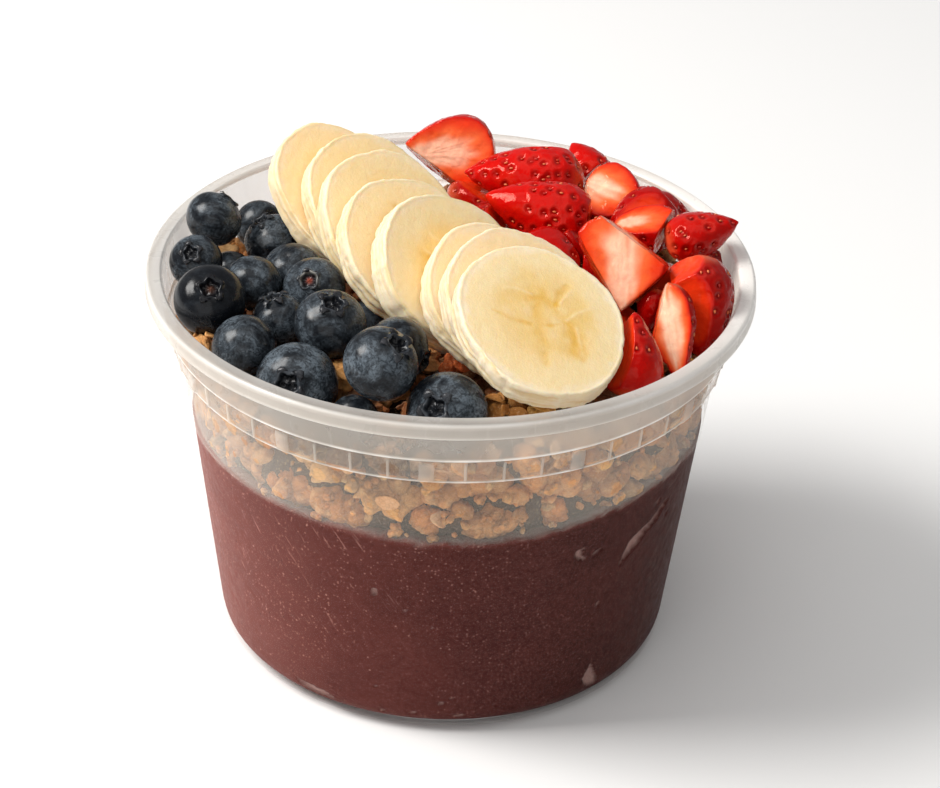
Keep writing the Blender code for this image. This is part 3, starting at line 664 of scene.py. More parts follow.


# -------------------------------------------------------------- blueberries
# crown azimuth, elevation, bloom (0 wet and bare, 1 waxy), lobe length
BERRY = {
    "blueberry_01": (121, 44, 0.55, 0.7), "blueberry_02": (161, -19, 0.45, 0.6), "blueberry_03": (-87, 63, 0.7, 1.0),
    "blueberry_04": (-14, 49, 0.7, 0.95), "blueberry_05": (8, 50, 0.08, 0.8), "blueberry_06": (-74, -71, 0.4, 0.7),
    "blueberry_07": (-41, -72, 0.75, 0.7), "blueberry_08": (154, -62, 0.75, 0.7), "blueberry_09": (-13, 47, 0.6, 0.55),
    "blueberry_10": (-107, 75, 0.85, 1.35), "blueberry_11": (18, 69, 0.55, 1.0), "blueberry_12": (89, -72, 0.65, 0.7),
    "blueberry_13": (-13, 30, 0.85, 0.85), "blueberry_14": (155, -18, 0.5, 0.7), "blueberry_15": (64, -6, 0.5, 0.7),
    "blueberry_16": (61, 55, 0.85, 1.25), "blueberry_17": (-34, -15, 0.8, 0.8), "blueberry_18": (-25, 36, 0.9, 1.0),
}
BERRY_ROWS, BERRY_COLS = 62, 84


def make_berry(name, mat, seed):
    az, el, bloom, lobe = BERRY[name]
    P, _ = cad(name)
    zc = direction(az, el)
    # the CAD berry's centre and radius across its crown axis
    h = P @ zc
    c0 = P.mean(0)
    for _ in range(3):
        q = P - c0
        q -= np.outer(q @ zc, zc)
        R = np.linalg.norm(q, axis=1).max()
        eq = P[np.abs((P - c0) @ zc) < R * 0.4]
        c0 = c0 + (eq.mean(0) - c0) - zc * ((eq.mean(0) - c0) @ zc)
    R = R / 0.970                                  # its widest ring stands a little off the middle
    # along the axis: the stem end is 0.9 R below the centre
    c0 = c0 + zc * (h.min() + 0.9 * R - c0 @ zc)
    xa = np.cross(zc, [0.3, 0.1, 1.0] if abs(zc[2]) < 0.9 else [1, 0, 0])
    xa /= np.linalg.norm(xa)
    ya = np.cross(zc, xa)
    # rows bunch up round the crown
    u = np.linspace(0, 1, BERRY_ROWS + 2)[1:-1]
    th = pi * (0.34 * u + 0.66 * u ** 2.1)
    ph = np.arange(BERRY_COLS) * 2 * pi / BERRY_COLS
    T, F = np.meshgrid(th, ph, indexing="ij")
    S = np.stack([np.sin(T) * np.cos(F), np.sin(T) * np.sin(F), np.cos(T)], -1).reshape(-1, 3)
    t, f = T.ravel(), F.ravel()
    rho = np.sin(t) * (t < pi / 2) + 10 * (t >= pi / 2)
    wave = 0.5 + 0.5 * np.cos(5 * f + 0.5 * np.sin(f * 2 + seed) + seed)
    ring = 0.30 + 0.03 * np.cos(5 * f + seed) + 0.015 * np.cos(3 * f + 2 * seed)
    shape = 1 + 0.014 * vnoise(S * R, 0.13, seed) + 0.006 * vnoise(S * R, 0.5, seed + 3)
    # shallow dimple round the crown, a raised ragged lip, then the cup
    z_add = -0.030 * np.exp(-((rho - 0.50) / 0.16) ** 2)
    lip = np.exp(-((rho - ring) / 0.055) ** 2)
    z_add += lip * (0.030 + 0.045 * wave * lobe + 0.02 * vnoise(S * R, 0.9, seed + 5))
    cup = 1 - smooth(0.0, 1.0, (rho - (ring - 0.13)) / 0.10)
    z_add -= cup * (0.115 + 0.02 * wave)
    z_add += 0.035 * np.exp(-(rho / 0.055) ** 2)                       # style scar
    z_add += cup * 0.018 * vnoise(S * R, 1.6, seed + 9)
    stem = np.exp(-((pi - t) / 0.16) ** 2)
    z_add += 0.05 * stem
    L = S * shape[:, None]
    L[:, 2] = L[:, 2] * 0.93 + z_add
    # small dents where berries pressed each other
    for j in range(3):
        d = direction(rng.uniform(0, 360), rng.uniform(-50, 60))
        m = np.exp(-((1 - S @ d) / 0.035) ** 2)
        L *= 1 - 0.012 * m[:, None]
    V = c0 + (L[:, :1] * xa + L[:, 1:2] * ya + L[:, 2:] * zc) * (R * 0.995)
    n = BERRY_ROWS
    top, bot = len(V), len(V) + 1
    V = np.vstack([V, c0 + zc * R * (0.93 - 0.115 + 0.035), c0 - zc * R * 0.88])
    faces = [grid(n, BERRY_COLS), fan(top, 0, BERRY_COLS), fan(bot, (n - 1) * BERRY_COLS, BERRY_COLS, flip=True)]
    bl = np.full(len(V), bloom)
    bl[:-2] *= 1 - 0.9 * (rho < ring + 0.04)
    bl = bl * (0.75 + 0.35 * fbm(V, 0.22, seed + 30, 3))
    lipc = np.concatenate([np.clip(lip * 1.0, 0, 1), [0, 0]])
    cupc = np.concatenate([cup, [1, 0]])
    star = np.concatenate([smooth(0.35, 0.75, wave) * smooth(0.10, 0.2, rho) * (rho < 0.5), [0, 0]])
    C = np.tile(lin(10, 12, 17), (len(V), 1))
    C = mix(C, lin(92, 98, 106), lipc * 0.34 * bloom)
    C = mix(C, lin(12, 12, 16), cupc * (0.9 - 0.35 * star))
    if name in ("blueberry_09", "blueberry_05"):
        core = np.concatenate([np.exp(-(rho / 0.085) ** 2), [1, 0]])
        C = mix(C, lin(168, 84, 66) if name == "blueberry_09" else lin(96, 66, 54), core * 0.95)
        bl *= 1 - core
    if name == "blueberry_09":
        edge = np.concatenate([np.exp(-((rho - 0.27) / 0.04) ** 2) * (0.5 + 0.5 * np.cos(f + 1.2)), [0, 0]])
        C = mix(C, lin(150, 146, 138), edge * 0.6)
    if name in ("blueberry_11", "blueberry_16", "blueberry_03"):
        # a pale grey patch on the side where the highlight falls: painted highlight; the patch also counts as bloom, so
        # it is rougher there
        d = {"blueberry_11": direction(-38, 46), "blueberry_16": direction(-10, 72), "blueberry_03": direction(-20, 35)}[name]
        s = (V - c0) / R @ d
        patch = smooth(0.93, 0.965, s + 0.03 * vnoise(V, 0.7, 50)) * (0.55 + 0.45 * smooth(-0.2, 0.3, vnoise(V, 1.1, 51)))
        C = mix(C, lin(126, 122, 118), patch * (0.75 if name == "blueberry_11" else 0.30))
        bl = np.maximum(bl, patch * 0.8)
    # calyx lobes: five pointed flaps that lean outwards round the lip
    extra_V, extra_F, extra_C, count = [], [], [], 0
    for j in range(5):
        a0 = (2 * pi * j - seed) / 5 + 0.12 * np.sin(seed * 3 + j)
        size = lobe * (0.75 + 0.35 * abs(np.sin(seed * 1.7 + j * 2.3)))
        wid, ln = 0.140 * (0.85 + 0.3 * abs(np.sin(seed + j))), 0.23 * size
        pts, nn, mm = [], 7, 5
        for side in (1, -1):
            for i in range(nn):
                s = i / (nn - 1)
                w = wid * (1 - s) ** 0.8 + 0.006
                for k in range(mm):
                    q = (k / (mm - 1) - 0.5) * 2
                    lean = 0.55 + 1.25 * s
                    rad = 0.285 + ln * s * sin(lean) * 1.0 + 0.012 * side * (1 - s)
                    up = 0.925 - 0.30 * 0.0 + ln * s * cos(lean) - 0.02 - 0.02 * q * q
                    up += 0.012 * np.sin(9 * s + 3 * q + seed + j)
                    aa = a0 + q * w / 0.285
                    pts.append([rad * cos(aa), rad * sin(aa), up - 0.035 * (s < 0.01)])
        pts = np.array(pts)
        W = c0 + (pts[:, :1] * xa + pts[:, 1:2] * ya + pts[:, 2:] * zc) * R
        g = grid(nn, mm, 0, wrap=False)
        fs = [g, g[:, ::-1] + nn * mm]
        rim = [k for k in range(mm)] + [i * mm + mm - 1 for i in range(1, nn)] + [nn * mm - 1 - k for k in range(1, mm)] \
            + [i * mm for i in range(nn - 2, 0, -1)]
        rim = np.array(rim)
        nx = np.roll(rim, -1)
        fs.append(np.stack([nx, rim, rim + nn * mm, nx + nn * mm], -1))
        fs = outward(W, fs)
        extra_V.append(W)
        extra_F.append(np.concatenate(fs) + len(V) + count)
        tip = np.tile(np.repeat(np.linspace(0, 1, nn), mm), 2)
        extra_C.append(mix(lin(15, 15, 19), lin(70, 70, 74), tip * 0.55 * bloom))
        count += len(W)
    V2 = np.vstack([V] + extra_V)
    faces = outward(V, faces) + extra_F
    C = np.vstack([C] + extra_C)
    bl = np.concatenate([np.clip(bl, 0, 1), np.full(count, 0.15 * bloom)])
    return make(name + "_fruit", V2, faces, mat, [name], attrs={"bloom": bl}, col=C)


def berry_material():
    k = Mat("blueberry_skin", Roughness=0.4, IOR=1.45)
    k.b.inputs["Specular IOR Level"].default_value = 0.26
    base = k.attr("Col", "Color")
    bloom = k.attr("bloom")
    patches = k.remap(k.noise(0.17, 5, 0.66, 0.8), 0.42, 0.60)
    streak = k.remap(k.noise(1.1, 5, 0.68, 1.2), 0.36, 0.64, 0.12, 1.0)
    wax = k.math("MULTIPLY", k.math("MULTIPLY", bloom, k.math("MULTIPLY_ADD", patches, 0.88, 0.12)), streak)
    c = k.mixc(k.math("MULTIPLY", wax, 0.66), base, lin(142, 156, 168))
    spot = k.remap(k.noise(0.75, 2, 0.5), 0.64, 0.72)
    c = k.mixc(k.math("MULTIPLY", spot, 0.5), c, lin(16, 18, 26))
    rough = k.remap(wax, 0.0, 0.8, 0.20, 0.42)
    bump = k.bump(k.noise(0.9, 3, 0.5), 0.06, 0.35)
    bump = k.bump(k.noise(4.0, 2), 0.02, 0.3, bump)
    return k.done(c, rough, bump)


# ------------------------------------------------------------------ bananas
# upper face centre, facing azimuth, elevation, half width, half height, thickness
BANANA = [
    (-21.1, 19.0, 83.2, 40, 53.1, 13.9, 16.7, 4.9), (-14.1, 13.7, 83.4, 39, 52.4, 14.9, 16.7, 4.7),
    (-10.6, 5.6, 83.8, 38, 51.5, 14.8, 16.8, 4.9), (-6.6, -3.9, 83.6, 38, 51.5, 14.6, 16.1, 5.2),
    (0.7, -11.8, 84.2, 42, 47.1, 15.2, 15.7, 6.2), (9.9, -19.4, 82.4, 38, 53.2, 15.2, 16.3, 4.7),
    (14.1, -25.4, 83.7, 35, 54.2, 15.4, 17.4, 4.6), (16.8, -34.5, 86.6, 34, 62.2, 15.9, 17.1, 5.1),
]
# seed star of the front slice: lines on the face as (x, y) pairs in shares of
# the half width and half height
STAR = [
    [(0.136, 0.074), (0.082, 0.130), (0.006, 0.228), (-0.146, 0.239), (-0.244, 0.302)],
    [(0.136, 0.074), (0.259, 0.145), (0.408, 0.237)],
    [(0.062, -0.174), (-0.119, -0.133), (-0.285, -0.069), (-0.407, 0.008), (-0.515, 0.108), (-0.617, 0.219)],
    [(-0.188, -0.078), (-0.236, -0.264), (-0.308, -0.409), (-0.373, -0.554)],
    [(0.153, -0.161), (0.133, -0.376), (0.060, -0.554), (0.081, -0.661)],
    [(-0.019, 0.188), (-0.145, 0.043), (-0.198, -0.095)], [(0.129, 0.062), (0.127, -0.072), (0.153, -0.161)],
]
STAR_WIDTH = (1.8, 1.05, 0.65, 1.55, 1.85, 1.7, 1.3)
STAR_DEEP = (0.85, 0.95, 0.75, 0.80, 1.0, 0.65, 0.6)
# paler threads beside the seed lines
THREADS = [
    [(-0.060, 0.288), (-0.183, 0.365), (-0.310, 0.437)], [(0.160, -0.150), (0.338, -0.122), (0.528, -0.098)],
    [(0.221, 0.075), (0.430, 0.162)], [(0.22, -0.30), (0.17, -0.42), (0.14, -0.52)],
]


def line_gap(x, y, line, steps=14):
    """Distance from points to a polyline, and the share along it."""
    best = np.full(x.shape, 1e9)
    along = np.zeros(x.shape)
    L = np.array(line, float)
    for i in range(len(L) - 1):
        a, b = L[i], L[i + 1]
        d = b - a
        t = np.clip(((x - a[0]) * d[0] + (y - a[1]) * d[1]) / (d @ d), 0, 1)
        g = np.hypot(x - a[0] - d[0] * t, y - a[1] - d[1] * t)
        hit = g < best
        best = np.where(hit, g, best)
        along = np.where(hit, (i + t) / (len(L) - 1), along)
    return best, along


def make_banana(i, mat):
    x0, y0, z0, az, el, a, b, th = BANANA[i]
    lobes = i * 0.9
    n = direction(az, el)
    u = np.array([cos(radians(az)), sin(radians(az)), 0.0])
    v = np.cross(n, u)
    c = np.array([x0, y0, z0])
    front = i == 7
    segs = 240 if front else 176
    ph = np.arange(segs) * 2 * pi / segs
    shape = 1.0 + 0.012 * np.cos(5 * ph + lobes) + 0.010 * np.cos(3 * ph + 2 * lobes)
    E = np.stack([np.cos(ph) * a, np.sin(ph) * b, np.full(segs, 7.0 * i)], -1)
    shape = shape * (0.986 + 0.014 * fbm(E, 0.20, i + 2, 3)) - 0.010 * np.abs(vnoise(E, 0.45, i + 20)) - 0.008 * smooth(0.1, 0.7, vnoise(E, 0.9, i + 25))
    rings = []                                         # (share of radius, inset mm, depth mm, side flag)
    nf = 52 if front else 36
    er = 0.85                                          # rounding of the cut edge
    for s in np.linspace(0, 1, nf + 1)[1:]:
        rings.append((s ** 0.85, er, 0.0, 0.0))
    for t in np.linspace(0, pi / 2, 5)[1:]:
        rings.append((1.0, er * (1 - sin(t)), er * (1 - cos(t)), 1.0))
    ns = max(9, int((th - 2 * er) / 0.34))
    for t in np.linspace(0, 1, ns + 1)[1:]:
        rings.append((1.0, 0.0, er + (th - 2 * er) * t, 1.0))
    for t in np.linspace(0, pi / 2, 4)[1:]:
        rings.append((1.0, er * (1 - cos(t)), th - er * (1 - sin(t)), 1.0))
    for s in (0.97, 0.88, 0.72, 0.5, 0.25):
        rings.append((s, er, th, 2.0))
    S = np.array(rings)
    sh, ins, dep, flag = (np.repeat(S[:, [k]], segs, 1) for k in range(4))
    X = (a * shape[None] * np.cos(ph)[None]) * sh
    Y = (b * shape[None] * np.sin(ph)[None]) * sh
    rr = np.hypot(X, Y)
    X -= X / np.maximum(rr, 1e-6) * ins * sh
    Y -= Y / np.maximum(rr, 1e-6) * ins * sh
    share = np.hypot(X / a, Y / b)
    Q = np.stack([X, Y, dep + 9.0 * i], -1)
    # the side: soft fibres that run round it, dragged by the knife
    A = np.repeat(ph[None], len(S), 0)
    band = vnoise(np.stack([np.cos(A) * 2.2, np.sin(A) * 2.2, dep * 2.6 + 3.0 * fbm(np.stack([np.cos(A) * 3, np.sin(A) * 3, dep * 0.0], -1), 1.0, i, 2)], -1), 1.0, i + 4)
    tear = fbm(Q, 0.9, i + 8, 3)
    off = (0.34 * np.minimum(band, 0.15) - 0.12 + 0.16 * tear) * (flag == 1.0) * smooth(0, 0.5, dep)
    X += X / np.maximum(rr, 1e-6) * off
    Y += Y / np.maximum(rr, 1e-6) * off
    D = dep.copy()
    face = (flag == 0.0)
    D += face * (0.10 + 0.09 * fbm(Q, 0.10, i + 12, 3) + 0.03 * fbm(Q, 0.7, i + 14, 2) + 0.10 * share ** 2)
    # a thin outer layer stands a little proud of the face
    skinl = np.exp(-((share - 0.955) / 0.018) ** 2) * face
    D -= skinl * 0.12 * (0.6 + 0.4 * vnoise(Q, 0.5, i + 3))
    # seed star
    x, y = X / a, Y / b
    turn = 0.0 if front else 1.1 * i
    ct, st = cos(turn), sin(turn)
    xs, ys = x * ct - y * st, x * st + y * ct
    grow = 1.0 if front else 0.85 + 0.08 * np.sin(i * 2.1)
    xs, ys = (xs - (0.104 if front else 0)) / grow, (ys - (0.06 if front else 0)) / grow
    wx = 0.025 * vnoise(Q, 0.35, 77)
    wy = 0.025 * vnoise(Q, 0.35, 78)
    crease = np.zeros_like(X)
    heart = smooth(0.0, 0.05, np.hypot(xs, ys))
    seeds = np.zeros_like(X)
    for j, line in enumerate(STAR):
        g, along = line_gap(xs + wx, ys + wy, line)
        w = (0.036 + 0.022 * np.sin(along * pi) + 0.018 * vnoise(Q, 0.6, 80 + j)) * STAR_WIDTH[j]
        m = np.exp(-(g / np.maximum(w, 0.006)) ** 2) * (1 - 0.35 * along) * STAR_DEEP[j]
        crease = np.maximum(crease, m)
        for q in (0.28, 0.42, 0.56, 0.72):
            k = np.exp(-(((along - q) / 0.035) ** 2) - (g / 0.022) ** 2) * (0.5 + 0.5 * np.sin(j * 5.1 + q * 40 + i))
            seeds = np.maximum(seeds, k)
    crease *= heart
    thread = np.zeros_like(X)
    for line in THREADS:
        g, along = line_gap(xs + wx, ys + wy, line)
        thread = np.maximum(thread, np.exp(-(g / 0.020) ** 2) * (1 - 0.4 * along))
    mid = np.exp(-(np.hypot(xs - 0.02, ys) / 0.09) ** 2)
    star_zone = 1 - smooth(0.42, 0.66, np.hypot(xs, ys * 0.95) + 0.06 * vnoise(Q, 0.3, 90))
    D += face * (0.09 * crease - 0.06 * thread + 0.05 * mid + 0.08 * star_zone)
    V = c + X[..., None] * u + Y[..., None] * v - D[..., None] * n
    V = V.reshape(-1, 3)
    rows = len(S)
    m1, m2 = len(V), len(V) + 1
    V = np.vstack([V, c - n * (0.1 + D[0].mean() - dep[0, 0] - 0.1), c - n * th])
    faces = outward(V, [fan(m1, 0, segs), grid(rows, segs), fan(m2, (rows - 1) * segs, segs, flip=True)])
    # colour
    warm = lin(250, 219, 150) if not front else lin(245, 219, 160)
    pale = lin(250, 240, 210)
    C = np.tile(warm, (rows, segs, 1)).astype(float)
    zone = smooth(0.35, 0.80, share + 0.10 * fbm(Q, 0.22, i + 40, 3))
    C = mix(C, lin(248, 232, 184) if front else lin(252, 236, 190), zone * 0.9)
    C = mix(C, pale, smooth(0.84, 0.93, share + 0.035 * vnoise(Q, 0.5, i + 41) + 0.02 * vnoise(Q, 1.4, i + 42)) * 0.8)
    C = mix(C, lin(238, 206, 120), face * star_zone * (0.42 + 0.30 * vnoise(Q, 0.28, 93)))
    C = mix(C, lin(250, 236, 198), face * star_zone * 0.22 * smooth(0.0, 0.6, vnoise(Q, 0.5, 97)))
    C = mix(C, lin(232, 184, 60), face * np.clip(crease * 1.05, 0, 1) * (0.66 + 0.34 * vnoise(Q, 0.8, 95)))
    C = mix(C, lin(255, 246, 214), face * thread * 0.35)
    C = mix(C, lin(160, 112, 58), face * seeds * 0.12)
    sidec = mix(lin(250, 241, 212), lin(238, 216, 160), smooth(-0.1, 0.6, -band) * 0.75)
    sidec = mix(sidec, lin(226, 196, 146), smooth(0.25, 0.75, tear) * 0.35)
    C = np.where((flag == 1.0)[..., None], sidec, C)
    C = np.vstack([C.reshape(-1, 3), C[0].mean(0), lin(248, 226, 162)])
    tone = ((0.96, 0.86, 0.79), (0.96, 0.88, 0.81), (0.96, 0.89, 0.83), (0.96, 0.89, 0.84), (0.97, 0.92, 0.89), (0.96, 0.89, 0.87),
            (0.96, 0.88, 0.87), (0.95, 0.90, 0.90))[i]
    C = C * np.array(tone) * 0.93
    wet = np.concatenate([(face * (1 - 0.5 * smooth(0.88, 1, share))).reshape(-1), [1, 0]])
    return make("banana_%d_slice" % (i + 1), V, faces, mat, ["banana_%d" % (i + 1)], attrs={"wet": wet}, col=C)


def banana_material():
    k = Mat("banana_flesh", Roughness=0.5, IOR=1.4)
    k.b.inputs["Subsurface Weight"].default_value = 0.25
    k.b.inputs["Subsurface Radius"].default_value = (1.0, 0.55, 0.22)
    k.b.inputs["Subsurface Scale"].default_value = 0.003
    base = k.attr("Col", "Color")
    fib = k.remap(k.noise(0.9, 5, 0.65, 0.5), 0.35, 0.65, 0.0, 0.4)
    c = k.mixc(fib, base, k.mixc(1.0, base, (0.95, 0.89, 0.76), "MULTIPLY"))
    cloud = k.remap(k.noise(0.14, 3, 0.5), 0.4, 0.7, 0.0, 0.5)
    c = k.mixc(cloud, c, k.mixc(1.0, c, (1.0, 0.955, 0.86), "MULTIPLY"))
    rough = k.remap(k.attr("wet"), 0, 1, 0.62, 0.40)
    bump = k.bump(k.noise(0.8, 5, 0.7), 0.20, 0.55)
    bump = k.bump(k.noise(3.2, 3), 0.05, 0.45, bump)
    return k.done(c, rough, bump)


# ------------------------------------------------------------- strawberries
# centre, direction of the tip (azimuth, elevation), roll, length, width, depth
STRAWBERRY = {
    "strawberry_01": ((32.1, -8.7, 85.0), 3, -46, 15, 22.2, 19.0, 15.7), "strawberry_02": ((47.0, 7.7, 82.0), 95, 19, 74, 15.0, 10.0, 12.0),
    "strawberry_03": ((41.1, -22.1, 79.0), 14, -46, 22, 19.3, 9.5, 9.5), "strawberry_04": ((46.6, -11.9, 78.5), 13, -51, 23, 20.6, 14.3, 14.3),
    "strawberry_05": ((-0.4, 42.3, 81.0), -78, -2, 102, 21.0, 15.2, 17.7), "strawberry_06": ((38.6, 10.6, 81.8), -81, 17, 108, 15.0, 10.0, 12.6),
    "strawberry_07": ((31.8, 29.0, 79.0), 76, -21, 61, 14.4, 13.0, 12.0), "strawberry_08": ((27.0, 41.6, 78.6), -130, 45, 134, 10.6, 9.6, 10.4),
    "strawberry_09": ((16.1, 34.4, 80.0), -86, 4, 96, 24.5, 13.6, 16.4), "strawberry_10": ((18.9, 19.4, 79.5), -93, 15, 105, 23.0, 14.2, 14.2),
    "strawberry_11": ((33.8, -31.1, 76.0), -179, 63, 168, 16.0, 11.5, 12.8), "strawberry_12": ((37.9, -12.9, 77.0), -25, -49, -10, 9.8, 6.2, 7.0),
    "strawberry_13": ((42.4, 27.4, 76.5), 78, -19, 67, 11.5, 8.0, 10.4), "strawberry_14": ((50.5, 8.2, 76.5), 57, -41, 50, 5.0, 4.4, 5.5),
    "strawberry_15": ((24.3, 12.3, 76.5), 52, -44, 48, 12.0, 3.8, 10.1), "strawberry_16": ((6.5, 33.0, 75.0), 100, 5, 20, 19.0, 14.0, 12.0),
    "strawberry_17": ((26.0, 38.0, 75.0), -120, 10, 60, 17.0, 14.0, 12.0), "strawberry_18": ((25.0, 27.5, 76.5), 60, -5, 10, 20.0, 15.0, 13.0),
    "strawberry_19": ((37.5, 20.5, 77.5), -40, 0, 80, 18.0, 14.5, 13.5), "strawberry_20": ((18.5, 6.0, 75.5), 20, 8, 40, 19.0, 15.5, 13.0),
    "strawberry_21": ((41.0, 1.5, 76.5), 150, 0, 0, 18.0, 15.0, 13.0), "strawberry_22": ((31.0, -14.0, 73.5), -30, 5, 90, 17.0, 12.0, 10.0),
    "strawberry_23": ((8.0, 20.5, 75.0), -100, 0, 30, 17.0, 14.0, 12.0), "strawberry_24": ((28.5, 5.5, 75.5), 70, -10, 50, 17.0, 14.0, 12.5),
    "strawberry_25": ((25.0, -2.5, 73.5), 160, 5, 10, 15.0, 13.0, 10.5),
}
# how each piece is coloured where it is cut: whiteness of its heart, how far
# the white reaches (share of the radius), how dark its skin is
TONE = {
    "strawberry_01": (0.80, 0.45, 0.55), "strawberry_03": (0.95, 0.75, 0.75), "strawberry_05": (0.75, 0.50, 0.40), "strawberry_07": (0.95, 0.60, 0.35),
    "strawberry_06": (0.70, 0.55, 0.50), "strawberry_04": (0.30, 0.35, 0.75), "strawberry_08": (0.25, 0.30, 0.30), "strawberry_02": (0.30, 0.30, 0.45),
    "strawberry_11": (0.20, 0.25, 0.55), "strawberry_12": (0.20, 0.20, 0.90), "strawberry_14": (0.1, 0.2, 0.9), "strawberry_15": (0.1, 0.2, 0.8),
    "strawberry_13": (0.2, 0.2, 0.8), "strawberry_09": (0.1, 0.2, 0.22), "strawberry_10": (0.1, 0.2, 0.25),
}
SEEDS = Batch()


def berry_profile(s):
    return np.sin(pi * np.clip(s, 0, 1) ** 0.62) ** 0.72


def rotate(v, axis, angle):
    return v * cos(angle) + np.cross(axis, v) * sin(angle) + axis * (axis @ v) * (1 - cos(angle))


def bald(name, s):
    """Parts of a skin whose seeds have come off, as a share of the length."""
    lo, hi = {"strawberry_10": (0.74, 1.1), "strawberry_12": (-1, 2), "strawberry_15": (-1, 2), "strawberry_25": (-1, 2), "strawberry_22": (-1, 2),
              "strawberry_11": (-1, 0.5), "strawberry_20": (-1, 0.5), "strawberry_08": (0.55, 1.1)}.get(name, (9, 9))
    return lo < s < hi


def make_strawberry(name, mat, sub, seed):
    c, taz, tel, roll, L, W, D = STRAWBERRY[name]
    c = np.array(c)
    white, reach, dark = TONE.get(name, (0.04, 0.2, 0.65))
    e1 = direction(taz, tel)
    flatv = np.array([cos(radians(taz)), sin(radians(taz)), 0.0])
    e2 = rotate(flatv, e1, radians(roll))
    e3 = np.cross(e1, e2)
    # the coarse body's own points tell its skin facets from its knife cuts
    pts = []
    for i in range(6):
        s = i / 5
        r = berry_profile(s) if 0 < i < 5 else 0.12 * (i == 0)
        for k in range(9):
            t = 2 * pi * k / 9
            pts.append(c + e1 * (L * (s - 0.42)) + e2 * (W / 2 * r * cos(t)) + e3 * (D / 2 * r * sin(t)))
    pts = np.array(pts)
    P, T = cad(name)
    nr = np.cross(P[T[:, 1]] - P[T[:, 0]], P[T[:, 2]] - P[T[:, 0]])
    area = np.linalg.norm(nr, axis=1)
    ok = area > 1e-3
    nr, mid, area = nr[ok] / area[ok, None], P[T[ok]].mean(1), area[ok]
    c0 = P[np.unique(T)].mean(0)
    cuts = []
    for nn, mm, ar in sorted(zip(nr, mid, area), key=lambda q: -q[2]):
        d = nn @ mm
        if any(nn @ n2 > 0.999 and abs(d - d2) < 0.1 for n2, d2 in cuts):
            continue
        if (pts @ nn).max() - d > 0.3:
            cuts.append((nn, d))
    S, F = ico(sub)
    o = np.array([(c0 - c) @ e for e in (e1, e2, e3)])
    dl = np.stack([S @ e1, S @ e2, S @ e3], -1)
    W2, D2 = W / 2 * 0.985, D / 2 * 0.985

    def inside(t):
        q = o + dl * t[:, None]
        s = q[:, 0] / L + 0.42
        R = berry_profile(s)
        return (s > 0) & (s < 1) & (np.hypot(q[:, 1] / W2, q[:, 2] / D2) < R)
    lo, hi = np.zeros(len(S)), np.full(len(S), 40.0)
    for _ in range(26):
        md = (lo + hi) / 2
        k = inside(md)
        lo, hi = np.where(k, md, lo), np.where(k, hi, md)
    body = np.maximum(lo, 0.4)
    pw = 80.0
    inv = [body ** -1.0]
    for nn, d in cuts:
        g = S @ nn
        inv.append(np.where(g > 1e-3, g / max(0.25, d - nn @ c0 - 0.02), 1e-6))
    inv = np.array(inv)
    big = inv.max(0)
    tot = ((inv / big) ** pw).sum(0)
    r = 1.0 / (big * tot ** (1 / pw))
    skin = (inv[0] / big) ** pw / tot
    V = c0 + S * r[:, None]
    # where in the whole fruit each point lies
    q = V - c
    s = q @ e1 / L + 0.42
    y, z = q @ e2 / W2, q @ e3 / D2
    rho = np.clip(np.hypot(y, z) / np.maximum(berry_profile(s), 0.05), 0, 1.1)
    ang = np.arctan2(z, y)
    N = normals_of(V, [F])
    fine_s = sub >= 6
    # cut faces: soft radial fibres, slightly uneven
    fibre = vnoise(np.stack([np.cos(ang) * 3.2, np.sin(ang) * 3.2, s * L * 0.35 + rho * 0.8], -1), 1.0, seed)
    fibre2 = vnoise(np.stack([np.cos(ang) * 7.5, np.sin(ang) * 7.5, s * L * 0.8 + rho], -1), 1.0, seed + 5)
    rough = 0.26 * fbm(V, 0.30, seed + 1, 3) + 0.09 * fibre + 0.045 * fibre2
    V = V + N * ((1 - skin) * (rough - 0.10) + skin * (0.30 * fbm(V, 0.26, seed + 2, 3) - 0.10))[:, None]
    # seeds sit in dimples, in staggered rows round the fruit
    dim = np.zeros(len(V))
    rim = np.zeros(len(V))
    rows = max(4, int(L * 1.12 / 2.65))
    for i in range(rows):
        si = (i + 0.6) / rows
        Rr = float(berry_profile(si))
        nt = max(3, int(pi * (W + D) / 2 * Rr / 2.8))
        for j in range(nt):
            t = 2 * pi * (j + 0.5 * (i % 2)) / nt + 0.20 * sin(seed + i * 3.1 + j * 1.7)
            sj = min(0.97, max(0.03, si + 0.020 * sin(seed * 2 + i + j * 2.9)))
            Q = c + e1 * (L * (sj - 0.42)) + e2 * (W2 * float(berry_profile(sj)) * cos(t)) + e3 * (D2 * float(berry_profile(sj)) * sin(t))
            if any(nn @ Q > d - 0.25 for nn, d in cuts) or bald(name, sj):
                continue
            if sin(seed * 5.3 + i * 12.9 + j * 78.2) > 0.86:
                continue
            nq = e2 * cos(t) / W2 + e3 * sin(t) / D2
            nq /= np.linalg.norm(nq)
            ds = (float(berry_profile(min(1, sj + 0.01))) - float(berry_profile(max(0, sj - 0.01)))) / 0.02
            nq = nq - e1 * (ds * (W2 + D2) / 2 / L)
            nq /= np.linalg.norm(nq)
            dist2 = ((V - Q) ** 2).sum(1)
            near = dist2 < 6.0
            dq = np.sqrt(dist2[near])
            dim[near] = np.maximum(dim[near], np.exp(-(dq / 0.86) ** 2))
            rim[near] = np.maximum(rim[near], np.exp(-((dq - 1.12) / 0.42) ** 2))
